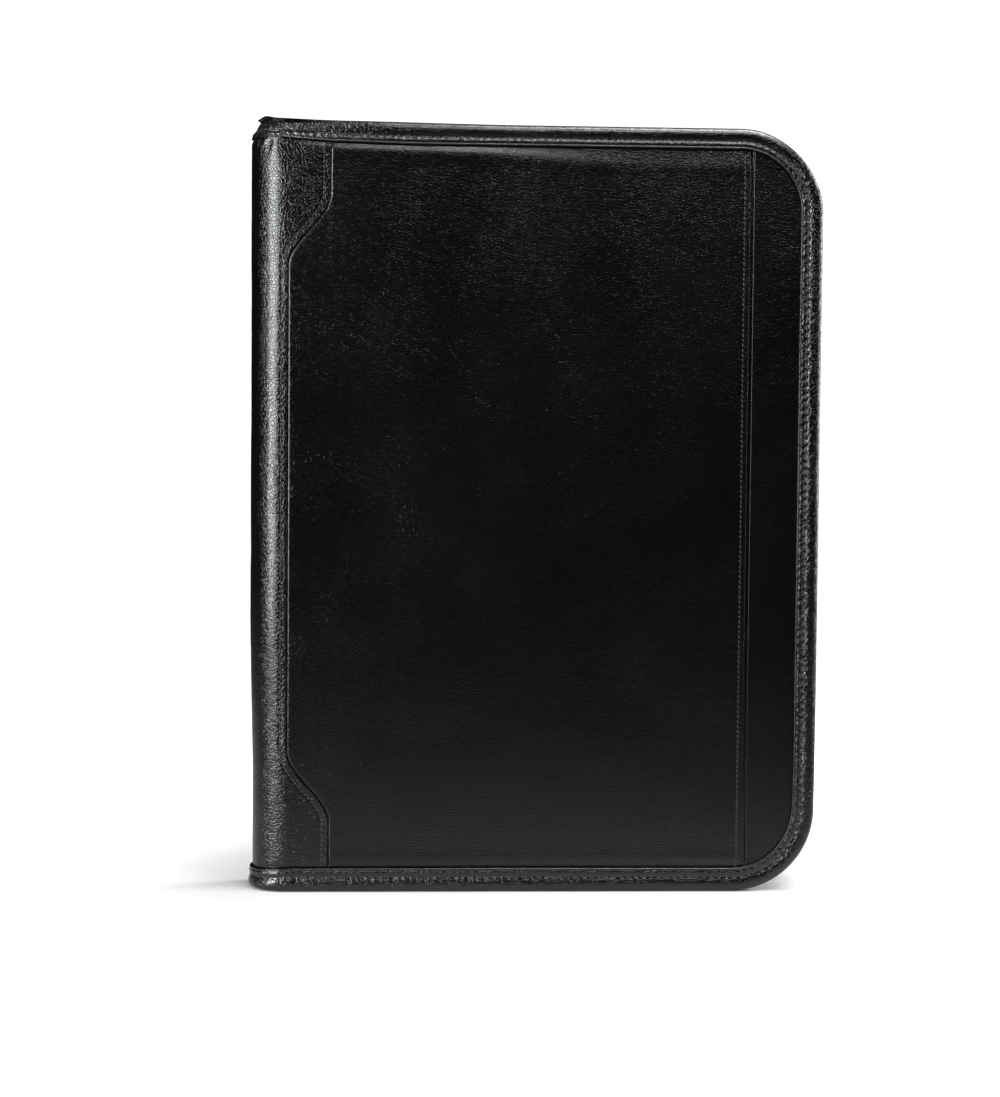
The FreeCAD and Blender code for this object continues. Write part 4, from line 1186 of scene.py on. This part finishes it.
def floor():
    """A pale floor, white to the eye away from the case, so that it runs into the white surroundings."""
    n = Nodes("floor")
    place = n.coords("object")
    distance = n.node("ShaderNodeVectorMath", {"operation": "LENGTH"}, i0=place).outputs["Value"]
    pale = n.mix(n.span(n.noise(place, 3, 2), 0.3, 0.7), rgb(0.88), rgb(0.92))
    seen = n.node("ShaderNodeLightPath").outputs["Is Camera Ray"]
    eye = n.mix(n.span(distance, 0.3, 0.8), pale, rgb(0.06))
    behind = n.node("ShaderNodeVectorMath", {"operation": "DISTANCE"}, i0=place, i1=(-0.05, 0.28, 0.0))
    mirrored = n.mix(n.span(behind.outputs["Value"], 0.3, 0.68), rgb(0.5), rgb(0.03))
    n.finish(Base_Color=n.mix(seen, mirrored, eye), Roughness=0.6, Specular_IOR_Level=0.2)
    glow = n.node("ShaderNodeEmission", Strength=n.math("MULTIPLY", n.span(distance, 0.13, 0.32), seen))
    both = n.node("ShaderNodeAddShader", i0=n.shader.outputs[0], i1=glow.outputs[0])
    n.tree.links.new(both.outputs[0], n.tree.nodes["Material Output"].inputs["Surface"])
    size = 9000.0
    corners = np.array([[[-size, -size, 0], [-size, size, 0]], [[size, -size, 0], [size, size, 0]]], float)
    obj = Shape().grid(corners).piece("floor", n.material, "foam")
    del obj["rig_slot"]


floor()

world = bpy.data.worlds.new("studio")
bpy.context.scene.world = world
world.use_nodes = True
tree = world.node_tree
tree.nodes.clear()
path = tree.nodes.new("ShaderNodeLightPath")
white = tree.nodes.new("ShaderNodeBackground")
white.inputs["Color"].default_value = (1, 1, 1, 1)
white.inputs["Strength"].default_value = 1.15
dim = tree.nodes.new("ShaderNodeBackground")
dim.inputs["Color"].default_value = (1, 1, 1, 1)
coordinates = tree.nodes.new("ShaderNodeTexCoord")
split = tree.nodes.new("ShaderNodeSeparateXYZ")
ramp = tree.nodes.new("ShaderNodeMapRange")
ramp.interpolation_type = "SMOOTHSTEP"
for socket, value in zip(ramp.inputs[1:5], (0.1, 0.95, 0.008, 0.2)):
    socket.default_value = value
mixer = tree.nodes.new("ShaderNodeMixShader")
output = tree.nodes.new("ShaderNodeOutputWorld")
tree.links.new(coordinates.outputs["Generated"], split.inputs[0])
tree.links.new(split.outputs[2], ramp.inputs[0])
tree.links.new(ramp.outputs[0], dim.inputs["Strength"])
tree.links.new(path.outputs["Is Camera Ray"], mixer.inputs[0])
tree.links.new(dim.outputs[0], mixer.inputs[1])
tree.links.new(white.outputs[0], mixer.inputs[2])
tree.links.new(mixer.outputs[0], output.inputs[0])

emitter("left_softbox", (0.6, 0.9), (-1.3, -1.08, 0.47), (-0.12, 0, 0.3), 31, (0.96, 0.98, 1))
emitter("right_softbox", (0.3, 1.1), (1.3, 0.45, 0.6), (0.12, 0, 0.2), 16)
emitter("overhead", (0.62, 0.45), (0.29, -0.12, 1.1), (0.1, 0.02, 0), 11)
emitter("right_strip", (0.06, 0.9), (1.25, -0.55, 0.45), (0.05, 0, 0.2), 3)
emitter("high_front", (0.8, 0.34), (0.3, -1.15, 1.25), (0.03, 0, 0.3), 8, (0.95, 0.98, 1))

camera = bpy.data.cameras.new("camera")
camera.lens, camera.sensor_width = 72.6, 36
view_point = bpy.data.objects.new("camera", camera)
turned, tilt, roll = (math.radians(a) for a in (2.825, 2.918, 0.485))
facing = np.array([-math.sin(turned) * -1 * 1.0, math.cos(turned), 0]) * math.cos(tilt)
facing[2] = -math.sin(tilt)
rightward = np.array([math.cos(turned), -math.sin(turned), 0])
upward = np.cross(rightward, facing)
right_2 = rightward * math.cos(roll) + upward * math.sin(roll)
up_2 = -rightward * math.sin(roll) + upward * math.cos(roll)
matrix = Matrix.Identity(4)
for k in range(3):
    matrix[k][0], matrix[k][1], matrix[k][2] = right_2[k], up_2[k], -facing[k]
matrix[0][3], matrix[1][3], matrix[2][3] = -0.06396, -1.0, 0.20469
view_point.matrix_world = matrix
bpy.context.scene.collection.objects.link(view_point)
bpy.context.scene.camera = view_point
bpy.context.scene.view_settings.view_transform = "Standard"
bpy.context.scene.view_settings.look = "None"
